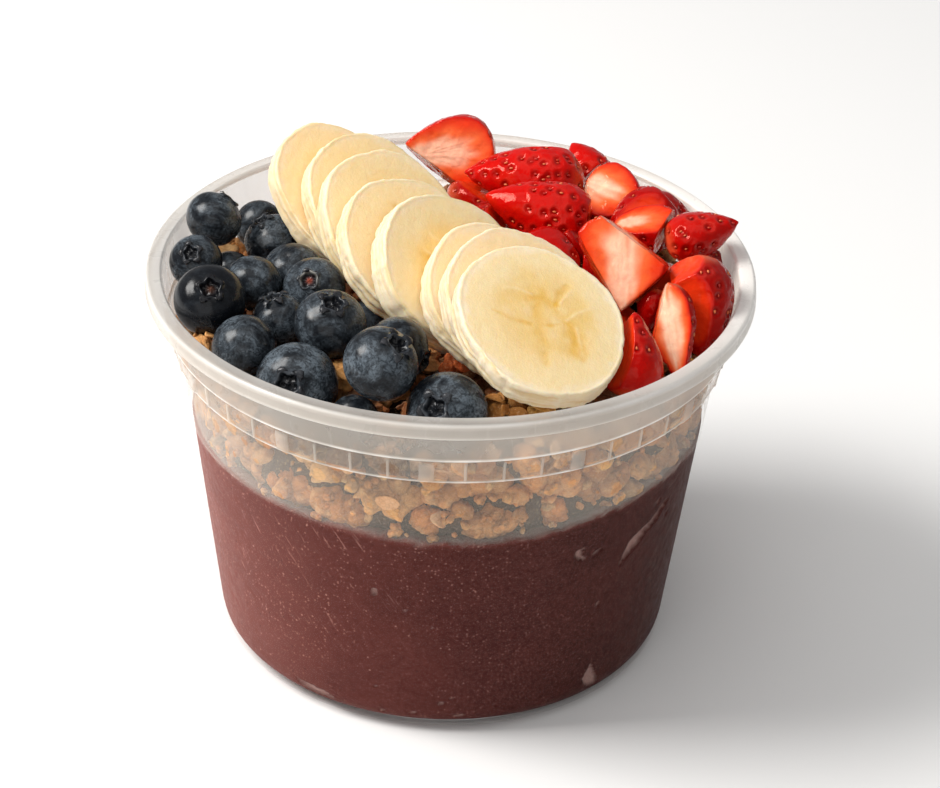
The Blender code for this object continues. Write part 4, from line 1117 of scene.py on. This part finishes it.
            # the seed itself: a teardrop that points to the tip
            U, UF = ico(2)
            ta = e1 - nq * (e1 @ nq)
            ta /= np.linalg.norm(ta)
            tb = np.cross(nq, ta)
            taper = 1 - 0.35 * U[:, 0]
            grow = 0.78 + 0.3 * sin(seed + i * 5.1 + j * 3.3) ** 2
            body_s = (ta * (U[:, :1] * 0.36) + tb * (U[:, 1:2] * 0.21 * taper[:, None]) + nq * (U[:, 2:] * 0.18)) * grow
            tint = (lin(206, 62, 26), lin(222, 118, 66), lin(182, 22, 12))[(i * 7 + j * 3 + int(seed)) % 3]
            SEEDS.add(Q - nq * 0.30 + body_s, UF, tint)
    V = V + N * (skin * (0.10 * rim - 0.46 * dim))[:, None]
    # colour
    up = skin
    red = mix(lin(210, 9, 5), lin(138, 3, 3), np.full(len(V), dark))
    red = mix(red, lin(230, 46, 14), 0.40 * smooth(0.1, 0.6, fbm(V, 0.16, seed + 7, 3)) * (1 - dark))
    shoulder = smooth(0.16, 0.02, s) * 0.5
    red = mix(red, lin(236, 120, 72), shoulder)
    # painted highlight: the ridges round the seeds are a little paler pink
    red = mix(red, lin(232, 92, 76), 0.12 * rim * (1 - dim) * smooth(-0.2, 0.5, vnoise(V, 0.3, seed + 11)))
    # painted shade: the dimples are darker red
    red = mix(red, lin(108, 2, 2), dim * 0.55)
    flesh = mix(lin(248, 208, 176), lin(240, 122, 66), smooth(0.0, 1.0, (rho - reach * 0.55) / 0.30 + 0.35 * fibre))
    flesh = mix(mix(lin(232, 78, 28), lin(206, 22, 10), np.full(len(V), dark * 0.7)), flesh, np.full(len(V), white) * (1 - smooth(reach * 0.7, reach + 0.42, rho + 0.12 * fibre + 0.05 * fibre2)))
    flesh = mix(flesh, lin(222, 50, 16), smooth(0.62, 0.92, rho + 0.07 * fibre) * 0.85)
    flesh = mix(flesh, lin(190, 18, 14), smooth(0.86, 1.0, rho + 0.03 * fibre2) * 0.9)
    C = mix(flesh, red, up)
    return make(name + "_piece", V, [F], mat, [name], attrs={"skin": skin}, col=C)


def strawberry_material():
    k = Mat("strawberry", Roughness=0.3, IOR=1.45)
    k.b.inputs["Specular IOR Level"].default_value = 0.42
    k.b.inputs["Specular Tint"].default_value = (1.0, 0.34, 0.26, 1.0)
    k.b.inputs["Subsurface Weight"].default_value = 0.18
    k.b.inputs["Subsurface Radius"].default_value = (1.0, 0.18, 0.10)
    k.b.inputs["Subsurface Scale"].default_value = 0.002
    k.b.inputs["Coat Weight"].default_value = 0.04
    k.b.inputs["Coat Roughness"].default_value = 0.12
    base = k.attr("Col", "Color")
    juice = k.remap(k.noise(0.35, 4, 0.6, 0.5), 0.38, 0.66, 0.0, 0.45)
    c = k.mixc(juice, base, k.mixc(1.0, base, (0.88, 0.62, 0.58), "MULTIPLY"))
    grain = k.remap(k.noise(2.2, 3, 0.6), 0.4, 0.7, 0.0, 0.25)
    c = k.mixc(grain, c, k.mixc(1.0, c, (1.06, 1.25, 1.2), "MULTIPLY"))
    rough = k.remap(k.noise(0.5, 3), 0.3, 0.7, 0.07, 0.18)
    bump = k.bump(k.noise(0.62, 2, 0.45, 0.3), 0.22, 0.9)
    bump = k.bump(k.noise(2.0, 2), 0.012, 0.7, bump)
    return k.done(c, rough, bump)


def seed_material():
    k = Mat("strawberry_seeds", Roughness=0.35)
    c = k.mixc(k.remap(k.noise(1.5, 2), 0.35, 0.65, 0.0, 0.5), k.attr("Col", "Color"), lin(180, 50, 24))
    return k.done(c, None, k.bump(k.noise(3.0, 2), 0.03, 0.4))


# ------------------------------------------------------------------ granola
TAN = [lin(250, 188, 118), lin(243, 171, 99), lin(254, 203, 139), lin(235, 159, 89), lin(249, 183, 116)]


def turn_matrix(r):
    q = r.normal(size=4)
    q /= np.linalg.norm(q)
    w, x, y, z = q
    return np.array([[1 - 2 * (y * y + z * z), 2 * (x * y - z * w), 2 * (x * z + y * w)],
                     [2 * (x * y + z * w), 1 - 2 * (x * x + z * z), 2 * (y * z - x * w)],
                     [2 * (x * z - y * w), 2 * (y * z + x * w), 1 - 2 * (x * x + y * y)]])


def oat(r, size=1.0):
    """A rolled oat: a thin oval flake with a soft rim, cupped, creased on one side."""
    m = 14
    ph = np.arange(m) * 2 * pi / m
    L, W, T = 2.6 * size * r.uniform(0.85, 1.15), 1.75 * size * r.uniform(0.85, 1.1), 0.50
    bend, sk, cup = r.uniform(-0.45, 0.45), r.uniform(0, 10), r.uniform(0.1, 0.5)
    rows = []
    prof = ((0.30, 1.0), (0.62, 0.96), (0.86, 0.78), (0.98, 0.35), (0.98, -0.35), (0.86, -0.78), (0.62, -0.96), (0.30, -1.0))
    for s, z in prof:
        x = L * s * np.cos(ph) * (1 + 0.11 * np.sin(3 * ph + sk) + 0.08 * np.sin(5 * ph + 2 * sk))
        y = W * s * np.sin(ph) * (1 + 0.09 * np.cos(2 * ph + sk) + 0.05 * np.sin(4 * ph + sk))
        zz = z * T / 2 + bend * (x / L) ** 2 * 0.9 + cup * (y / W) ** 2 + 0.07 * np.sin(x * 2.3 + sk) * np.cos(y * 2.9)
        if z > 0:
            zz = zz - 0.05 * np.exp(-(y / (0.22 * W)) ** 2)
        rows.append(np.stack([x, y, zz], -1))
    n = len(prof)
    V = np.vstack(rows + [[[0, 0, T * 0.5 - 0.03]], [[0, 0, -T * 0.5]]])
    g = grid(n, m)
    T3 = np.concatenate([g[:, [0, 1, 2]], g[:, [0, 2, 3]], fan(n * m, 0, m), fan(n * m + 1, (n - 1) * m, m, flip=True)])
    T3 = outward(V, [T3])[0]
    return V, T3


def nugget(r, radius, sub=3, rough=0.33):
    """A small baked crumb."""
    U, F = ico(sub)
    ax = np.array([1.0, r.uniform(0.72, 1.0), r.uniform(0.6, 0.9)])
    seed = r.uniform(0, 900)
    V = U * ax
    lump = vnoise(V, 1.7, seed)
    cell = np.abs(vnoise(V, 3.1, seed + 4))
    d = 1 + rough * lump - 0.20 * (1 - smooth(0.0, 0.3, cell)) + 0.10 * vnoise(V, 6.5, seed + 7)
    V = V * d[:, None]
    # painted shade: the low, sunken parts of the crumb are coloured darker
    shade = np.clip(0.60 + 0.75 * (d - 0.8), 0.35, 1.12)
    return V * radius, F, shade


def clump(r, radius, sub, long=1.35, lean=0.0):
    """A baked cluster: lumps of oat and syrup grown together, with flakes and
    small crumbs stuck all over them; the joins between them and its sunken parts are
    coloured darker, as painted shade. The mesh is closer on its own +y side when lean is above nought."""
    U, F = ico(sub)
    U = U + np.array([0.0, lean, 0.0])
    U = U / np.linalg.norm(U, axis=1, keepdims=True)
    n1 = r.integers(7, 11)
    C = r.normal(size=(n1, 3))
    C /= np.linalg.norm(C, axis=1, keepdims=True)
    C *= (np.array([long, 0.78, 0.95]) * r.uniform(0.38, 0.58, (n1, 1)))
    R = r.uniform(0.32, 0.46, n1)
    C = np.vstack([[[0, 0, 0]], [[0.36 * long, 0, 0]], [[-0.36 * long, 0, 0]], C])
    R = np.concatenate([[0.62, 0.54, 0.54], R])
    base = len(R)
    # small crumbs, then flakes, on every lump
    n2 = 90
    pick = r.integers(0, base, n2)
    D = r.normal(size=(n2, 3))
    D /= np.linalg.norm(D, axis=1, keepdims=True)
    C2, R2 = C[pick] + D * (R[pick] * 0.92)[:, None], r.uniform(0.06, 0.14, n2)
    Cs, Rs = np.vstack([C, C2]), np.concatenate([R, R2])
    dc = U @ Cs.T
    inner = Rs[None] ** 2 - (Cs ** 2).sum(1)[None] + dc ** 2
    hit = [np.where(inner > 0, dc + np.sqrt(np.maximum(inner, 0)), 0.0)]
    for j in range(44):
        k = r.integers(0, base)
        n = r.normal(size=3)
        n /= np.linalg.norm(n)
        c = C[k] + n * R[k] * r.uniform(0.92, 1.06)
        z = n + 0.55 * r.normal(size=3)
        z /= np.linalg.norm(z)
        x = np.cross(z, r.normal(size=3))
        x /= np.linalg.norm(x)
        A = np.stack([x / r.uniform(0.20, 0.32), np.cross(z, x) / r.uniform(0.14, 0.22), z / r.uniform(0.05, 0.08)])
        AU, AC = U @ A.T, A @ c
        qa, qb, qc = (AU ** 2).sum(1), AU @ AC, AC @ AC - 1
        disc = qb ** 2 - qa * qc
        hit.append(np.where(disc > 0, (qb + np.sqrt(np.maximum(disc, 0))) / qa, 0.0)[:, None])
    hit = np.hstack(hit)
    which = hit.argmax(1)
    own = r.uniform(0.80, 1.14, hit.shape[1])
    top2 = np.sort(hit, axis=1)[:, -2:]
    d = np.maximum(top2[:, 1], 0.30)
    # how near a join: small gap between the two outermost lumps
    join = 1 - smooth(0.0, 0.05, top2[:, 1] - top2[:, 0])
    seed = r.uniform(0, 900)
    V = U * d[:, None]
    d = d * (1 - 0.030 * join) + 0.022 * vnoise(V, 7.0, seed) + 0.018 * vnoise(V, 15.0, seed + 3)
    V = U * d[:, None]
    ref = np.median(d)
    # painted shade: darker at the joins and on sunken parts, times a random tone for each lump or flake
    shade = (0.90 + 0.42 * (d - ref) - 0.26 * join) * own[which]
    return V * radius, F, np.clip(shade, 0.30, 1.2)


def tint(r):
    return TAN[r.integers(len(TAN))] * r.uniform(0.82, 1.1)


def make_granola():
    r = np.random.default_rng(23)
    G = tree("granola")
    fruit = [tree(n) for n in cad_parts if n.split("_")[0] in ("blueberry", "banana", "strawberry")]

    def top(x, y):
        h = G.ray_cast(Vector((x, y, 140)), Vector((0, 0, -1)))
        return h[0].z if h[0] is not None else None

    def roof(x, y):
        lo = 200.0
        for t in fruit:
            h = t.ray_cast(Vector((x, y, 45)), Vector((0, 0, 1)))
            if h[0] is not None:
                lo = min(lo, h[0].z)
        return lo

    def free(p, rad):
        """How far a point is from the nearest fruit, less a radius."""
        d = 99.0
        for t in fruit:
            h = t.find_nearest(Vector(p), 12.0)
            if h[0] is not None:
                d = min(d, h[3])
        return d - rad

    def fit(V, into=0.12):
        """Flattens what would stick through the wall against it."""
        rr = np.hypot(V[:, 0], V[:, 1])
        z = np.clip(V[:, 2], 20, 77)
        # the rounded steps of the two ledges
        ledge = np.interp(z, (61.9, 62.4, 63.0, 63.5, 64.0, 67.5, 68.0, 68.5, 69.0, 77.0),
                          (51.10, 51.20, 52.05, 52.34, 52.42, 52.93, 53.25, 53.70, 53.80, 55.00))
        lim = np.minimum(wall_inner(z), ledge) + into
        k = np.minimum(1.0, lim / np.maximum(rr, 1e-6))
        V = V.copy()
        V[:, 0] *= k
        V[:, 1] *= k
        return V

    # smaller core that everything lies on
    m, cap = 160, 1
    ang = np.arange(m) * 2 * pi / m
    rows = []
    for rr, zf in [(20, 46.6), (40, 46.6), (46.6, 47.2)]:
        rows.append(np.stack([rr * np.sin(ang), -rr * np.cos(ang), np.full(m, zf)], -1))
    for z in np.linspace(49.0, 62.5, 9):
        rr = np.full(m, 47.0)
        rows.append(np.stack([rr * np.sin(ang), -rr * np.cos(ang), np.full(m, z)], -1))
    tops = []
    for f in (0.985, 0.95, 0.88, 0.8, 0.7, 0.6, 0.5, 0.4, 0.3, 0.2, 0.1):
        rr = 48.6 * f
        zz = []
        for a in ang:
            x, y = rr * sin(a), -rr * cos(a)
            t = top(x, y)
            zz.append(min(t if t else 66.0, 74.0) - 2.6)
        rows.append(np.stack([rr * np.sin(ang), -rr * np.cos(ang), np.array(zz)], -1))
    V = np.vstack(rows)
    N0 = V / np.maximum(np.linalg.norm(V * [1, 1, 0], axis=1, keepdims=True), 1e-6) * [1, 1, 0]
    lump = fbm(V, 0.28, 61, 3) * 1.1 + 0.5 * vnoise(V, 0.8, 62)
    side = (V[:, 2] > 48.2) & (V[:, 2] < 63.5)
    V = V + N0 * (lump * side)[:, None]
    up = np.arange(len(V)) >= 12 * m
    V[:, 2] += lump * up * 0.9
    lo, hi = len(V), len(V) + 1
    V = np.vstack([V, [0, 0, 46.6], [0, 0, (top(0, 0) or 66) - 2.6]])
    F = outward(V, [grid(len(rows), m), fan(lo, 0, m), fan(hi, (len(rows) - 1) * m, m, flip=True)])
    # painted shade: the core is dark brown, and maroon-black on top, so the gaps between clusters and the ground under
    # the fruit read as shadow
    C = mix(lin(54, 42, 34), lin(84, 62, 44), smooth(-0.3, 0.5, fbm(V, 0.5, 66, 2)))
    C = mix(C, lin(34, 12, 12), smooth(62.0, 64.5, V[:, 2]) * 0.8)
    mat_core = granola_material("granola_core_mat", 0.35)
    make("granola_core", V, F, mat_core, ["granola"], col=C)

    clusters, lumps, oats, crumbs = Batch(), Batch(), Batch(), Batch()
    placed = []

    def room(p, rad, k=0.72):
        for q, s in placed:
            if (p[0] - q[0]) ** 2 + (p[1] - q[1]) ** 2 + (p[2] - q[2]) ** 2 < (k * (rad + s)) ** 2:
                return False
        return True

    def add_cluster(p, rad, big, frame3=None, long=1.3, q_wall=False):
        if rad > 3.2:
            V, F, sh = clump(r, rad * 1.05, 5 if big else 4, long, 0.55 if big else 0.0)
        else:
            V, F, sh = nugget(r, rad, 3, 0.30)
        V = V @ (frame3 if frame3 is not None else turn_matrix(r).T) + p
        V = fit(V)
        # sh is the painted shade of the cluster or crumb
        col = mix(np.zeros(3), tint(r), sh)
        col = mix(col, lin(246, 206, 154) * 0.95, 0.35 * smooth(0.15, 0.6, vnoise(V, 0.55, rad)))
        col = mix(col, lin(176, 104, 52), 0.40 * smooth(0.2, 0.7, vnoise(V, 0.35, rad + 50)))
        (clusters if big else lumps).add(V, F, col)
        placed.append((p, rad))
        # an oat or two baked into its surface
        for _ in range(int(r.random() < 0.3) if q_wall else r.integers(0, 2)):
            d = r.normal(size=3)
            d /= np.linalg.norm(d)
            W, WF = oat(r, 0.85)
            z = d
            x = np.cross(z, [0.2, 0.5, 1.0])
            x /= np.linalg.norm(x)
            Rm = np.stack([x, np.cross(z, x), z], -1)
            W = W @ Rm.T + p + d * rad * 0.86
            if free(p + d * rad * 0.93, 1.5) > -1.2:
                oats.add(fit(W), WF, tint(r) * 1.04)

    # big clusters lean on the wall with gaps between them, smaller ones fill
    # some of the gaps
    for share, lo_r, hi_r, tries, k, most in ((1, 4.8, 6.4, 1400, 0.90, 38), (2, 3.2, 4.3, 1100, 0.84, 60), (3, 1.7, 2.9, 1000, 0.86, 52)):
        put = 0
        for _ in range(tries):
            a, z = r.uniform(0, 2 * pi), r.uniform(48.5, 66.5)
            rad = r.uniform(lo_r, hi_r)
            z = max(z, 47.4 + rad * r.uniform(0.42, 0.8))
            z = min(z, 67.0 - rad * 0.8)
            rr = float(wall_inner(z)) - rad * r.uniform(0.72, 0.90)
            p = np.array([rr * sin(a), -rr * cos(a), z])
            if not room(p, rad, k) or free(p, rad) < -0.3:
                continue
            t3 = None
            if share == 1:
                tw = r.uniform(-0.7, 0.7)
                tan = np.array([cos(a), sin(a), 0.0])
                out = np.array([sin(a), -cos(a), 0.0])
                up3 = np.array([0, 0, 1.0])
                e1 = tan * cos(tw) + up3 * sin(tw)
                e3 = -tan * sin(tw) + up3 * cos(tw)
                t3 = np.stack([e1, out, e3])
            add_cluster(p, rad, share == 1, t3, 1.45 if share == 1 else 1.2, True)
            put += 1
            if put >= most:
                break
    tries = 0
    while tries < 4200:
        tries += 1
        a, q = r.uniform(0, 2 * pi), sqrt(r.uniform(0, 1)) * 51.0
        x, y = q * sin(a), -q * cos(a)
        t = top(x, y)
        if t is None:
            continue
        rad = r.choice([r.uniform(3.6, 5.2), r.uniform(1.9, 3.1)], p=[0.4, 0.6])
        if q + rad * 0.8 > 52.6:
            continue
        f = min(roof(x, y), roof(x + rad * .6, y), roof(x - rad * .6, y), roof(x, y + rad * .6), roof(x, y - rad * .6))
        z = min(t + 0.6 - rad * r.uniform(0.35, 0.8), f - rad - 0.2)
        if z < t - rad - 2.5:
            continue
        p = np.array([x, y, z])
        if not room(p, rad, 0.74) or free(p, rad) < -0.3:
            continue
        add_cluster(p, rad, False)
    # crumbs that lie on the puree right against the wall
    for _ in range(40):
        a = r.uniform(0, 2 * pi)
        z, rad = float(acai_edge(a)) + r.uniform(-0.1, 0.9), r.uniform(0.5, 1.3)
        q = float(wall_inner(z)) - rad * r.uniform(0.6, 1.2)
        # sh: the crumb's painted shade, used in its colour
        V, F, sh = nugget(r, rad, 3, 0.4)
        crumbs.add(fit(V @ turn_matrix(r).T + np.array([q * sin(a), -q * cos(a), z]), 0.05), F, mix(np.zeros(3), tint(r), sh))
    # loose oats and crumbs over the top and down the wall
    n_oat = 0
    for _ in range(2600):
        a, q = r.uniform(0, 2 * pi), sqrt(r.uniform(0, 1)) * 52.0
        x, y = q * sin(a), -q * cos(a)
        t = top(x, y)
        if t is None:
            continue
        z = t + r.uniform(-0.6, 1.1)
        if q > 50.5:
            z -= 0.8
        p = np.array([x, y, z])
        if free(p, 1.9) < 0:
            continue
        V, F = oat(r, r.uniform(0.75, 1.0))
        tilt = turn_matrix(r) if r.random() < 0.25 else None
        if tilt is None:
            w = r.normal(scale=0.35, size=2)
            c, s = cos(r.uniform(0, 6.3)), sin(r.uniform(0, 6.3))
            zc = np.array([w[0], w[1], 1.0])
            zc /= np.linalg.norm(zc)
            xc = np.cross([c, s, 0.1], zc)
            xc /= np.linalg.norm(xc)
            tilt = np.stack([xc, np.cross(zc, xc), zc], -1)
        V = fit(V @ tilt.T + p, 0.0)
        oats.add(V, F, tint(r) * r.uniform(0.9, 1.08))
        n_oat += 1
        if n_oat > 240:
            break
    n_cr = 0
    for _ in range(4000):
        if r.random() < 0.45:
            a, z = r.uniform(0, 2 * pi), r.uniform(47.6, 67.0)
            q = float(wall_inner(z)) - r.uniform(0.3, 1.6)
            x, y = q * sin(a), -q * cos(a)
        else:
            a, q = r.uniform(0, 2 * pi), sqrt(r.uniform(0, 1)) * 52.2
            x, y = q * sin(a), -q * cos(a)
            t = top(x, y)
            if t is None:
                continue
            z = t + r.uniform(-0.4, 1.2)
        rad = r.uniform(0.45, 1.25)
        p = np.array([x, y, z])
        if free(p, rad) < 0:
            continue
        # sh: the crumb's painted shade, used in its colour
        V, F, sh = nugget(r, rad, 2 if rad < 1.15 else 3, 0.4)
        crumbs.add(fit(V @ turn_matrix(r).T + p, 0.05), F, mix(np.zeros(3), tint(r), sh * 1.05))
        n_cr += 1
        if n_cr > 900:
            break
    # the few bits that show between the fruit: orange fruit crumbs and pale oats
    show = [((1.3, -26.5, 71.4), 3.0, lin(232, 120, 66)), ((-19.4, -31.5, 71.4), 3.0, lin(214, 156, 92)),
            ((-45.2, -23.6, 72.8), 2.4, lin(250, 188, 120)), ((12.3, -40.4, 71.2), 3.6, lin(196, 140, 78)),
            ((8.5, -43.5, 72.6), 2.6, lin(176, 120, 60)), ((16.8, -43.6, 72.9), 2.4, lin(206, 156, 84)),
            ((42.9, -25.4, 72.2), 2.4, lin(190, 144, 74)), ((-3.6, -24.0, 70.6), 2.2, lin(206, 150, 96))]
    kept = set()
    for p, rad, colr in show:
        p = np.array(p)
        # sh: the bit's painted shade, used in its colour
        V, F, sh = nugget(r, rad, 4, 0.42)
        V = fit(V @ turn_matrix(r).T + p)
        lumps.add(V, F, mix(np.zeros(3), colr, np.clip(sh + 0.12, 0, 1.15)))
        kept.add(id(V))
        for _ in range(3):
            d = r.normal(size=3)
            d /= np.linalg.norm(d)
            d[2] = abs(d[2])
            W, WF = oat(r, 0.7)
            x = np.cross(d, [0.2, 0.5, 1.0])
            x /= np.linalg.norm(x)
            W = W @ np.stack([x, np.cross(d, x), d], -1).T + p + d * rad * 0.95
            W = fit(W)
            oats.add(W, WF, colr * 1.05)
            kept.add(id(W))
    # dark in the middle, under the fruit: partly juice from the fruit run down between the pieces, partly painted shade
    for batch in (clusters, lumps, oats, crumbs):
        for k, (V, C) in enumerate(zip(batch.V, batch.C)):
            if id(V) in kept:
                continue
            if batch is oats:
                C = C * 0.6 + C.mean(1, keepdims=True) * np.array([0.48, 0.40, 0.32])
            near = 3.2 * np.exp(-((np.arctan2(V[:, 0], -V[:, 1]) + 0.50) / 0.42) ** 2)
            juice_and_painted_shade = smooth(64.5, 69.0, V[:, 2]) * (1 - smooth(46.5 + near, 50.5 + near * 0.7, np.hypot(V[:, 0], V[:, 1])))
            C = mix(C, C * np.array([0.30, 0.16, 0.13]) + lin(26, 8, 8), juice_and_painted_shade * 0.85)
            # painted shade: the stretch behind the stacking band is darkened and greyed
            az = np.degrees(np.arctan2(V[:, 0], -V[:, 1]))
            shade = smooth(61.6, 63.4, V[:, 2]) * smooth(-36, -31, az) * (1 - smooth(-6, -1, az)) * smooth(42, 45, np.hypot(V[:, 0], V[:, 1]))
            batch.C[k] = mix(C, C * np.array([0.18, 0.20, 0.22]) + lin(48, 45, 42), shade * 0.85 * (1 - juice_and_painted_shade))
    mat = granola_material("granola_cluster_mat", 1.0)
    clusters.piece("granola_clusters", mat, "granola")
    lumps.piece("granola_lumps", mat, "granola")
    oats.piece("granola_oats", granola_material("granola_oat_mat", 0.6), "granola")
    crumbs.piece("granola_crumbs", mat, "granola")
    print("granola", len(clusters.V), len(lumps.V), len(oats.V), len(crumbs.V))


def granola_material(name, rough_amt):
    k = Mat(name, Roughness=0.72, IOR=1.4)
    k.b.inputs["Specular IOR Level"].default_value = 0.3
    base = k.attr("Col", "Color")
    toast = k.remap(k.noise(0.6, 5, 0.65), 0.42, 0.70, 0.0, 0.55)
    c = k.mixc(toast, base, k.mixc(1.0, base, (0.78, 0.60, 0.42), "MULTIPLY"))
    flour = k.remap(k.noise(2.2, 4, 0.65), 0.54, 0.72, 0.0, 0.45)
    c = k.mixc(flour, c, lin(248, 216, 170))
    pit = k.remap(k.cells(1.0, "DISTANCE_TO_EDGE"), 0.0, 0.10, 0.32, 0.0)
    c = k.mixc(pit, c, k.mixc(1.0, c, (0.45, 0.32, 0.22), "MULTIPLY"))
    rough = k.remap(k.noise(1.0, 2), 0.3, 0.7, 0.6, 0.9)
    bump = k.bump(k.noise(1.3, 5, 0.75), 0.55, 0.8 * rough_amt + 0.15)
    bump = k.bump(k.noise(4.2, 3), 0.08, 0.6, bump)
    return k.done(c, rough, bump)




# -------------------------------------------------------------- light, floor
def make_stage():
    me = bpy.data.meshes.new("floor")
    s = 3.0
    me.from_pydata([(-s, -s, 0), (s, -s, 0), (s, s, 0), (-s, s, 0)], [], [(0, 1, 2, 3)])
    floor = bpy.data.objects.new("floor", me)
    bpy.context.scene.collection.objects.link(floor)
    k = Mat("floor_paper", Roughness=0.85)
    k.b.inputs["Specular IOR Level"].default_value = 0.1
    me.materials.append(k.done(k.mixc(k.noise(0.002, 2), FLOOR, [0.99 * v for v in FLOOR])))

    def area(name, loc, aim, size, power, colour=(1, 1, 1), size_y=None):
        li = bpy.data.lights.new(name, "AREA")
        li.shape = "RECTANGLE"
        li.size, li.size_y = size, size_y or size
        li.energy, li.color = power, colour
        ob = bpy.data.objects.new(name, li)
        bpy.context.scene.collection.objects.link(ob)
        ob.location = loc
        d = Vector(aim) - Vector(loc)
        ob.rotation_euler = d.to_track_quat("-Z", "Y").to_euler()
        return ob
    area("key", (-0.646, -0.038, 0.755), (0, 0, 0.06), 0.42, KEY, (1.0, 0.98, 0.95), 0.46)
    area("top", (0.0, -0.15, 1.30), (0, 0, 0.06), 1.1, TOP, (1.0, 0.995, 0.985))
    area("fill", (-0.22, -1.0, 0.50), (0, 0, 0.05), 0.9, FILL, (1.0, 0.99, 0.98))
    w = bpy.data.worlds.new("studio")
    bpy.context.scene.world = w
    w.use_nodes = True
    bg = w.node_tree.nodes["Background"]
    bg.inputs[0].default_value = (1.0, 0.99, 0.98, 1)
    bg.inputs[1].default_value = WORLD


FLOOR = (0.88, 0.88, 0.88)
KEY, TOP, FILL, WORLD = 11.2, 4.0, 2.6, 0.30


def make_camera():
    """Looks down on the bowl from the front."""
    focal_px, dist, el, roll, target_z = 2984.012, 592.790, 32.2564, 1.6390, 36.555
    cam = bpy.data.cameras.new("camera")
    ob = bpy.data.objects.new("camera", cam)
    bpy.context.scene.collection.objects.link(ob)
    e = radians(el)
    loc = Vector((0, 0, target_z * MM)) + Vector((0, -cos(e), sin(e))) * (dist * MM)
    ob.matrix_world = Matrix.Translation(loc) @ Matrix.Rotation(pi / 2 - e, 4, "X") @ Matrix.Rotation(radians(roll), 4, "Z")
    cam.sensor_width = 36.0
    cam.lens = focal_px * 36.0 / 940.0
    cam.shift_x, cam.shift_y = 24.1476 / 940.0, 54.9399 / 940.0
    cam.clip_start = 0.01
    bpy.context.scene.camera = ob


scene = bpy.context.scene
scene.view_settings.view_transform = "Standard"
scene.view_settings.look = "None"
make_camera()
make_stage()
make_tub()
make_acai()
mat = berry_material()
for i, name in enumerate(BERRY):
    make_berry(name, mat, 1.3 * i + 0.4)
mat = banana_material()
for i in range(8):
    make_banana(i, mat)
mat = strawberry_material()
for i, name in enumerate(STRAWBERRY):
    make_strawberry(name, mat, 6 if i < 13 else 5, 2.7 * i + 1.1)
SEEDS.piece("strawberry_seeds", seed_material(), "strawberry")
make_granola()
print("triangles", sum(TRIS.values()), sorted(TRIS.items(), key=lambda t: -t[1])[:6])
bpy.context.view_layer.update()
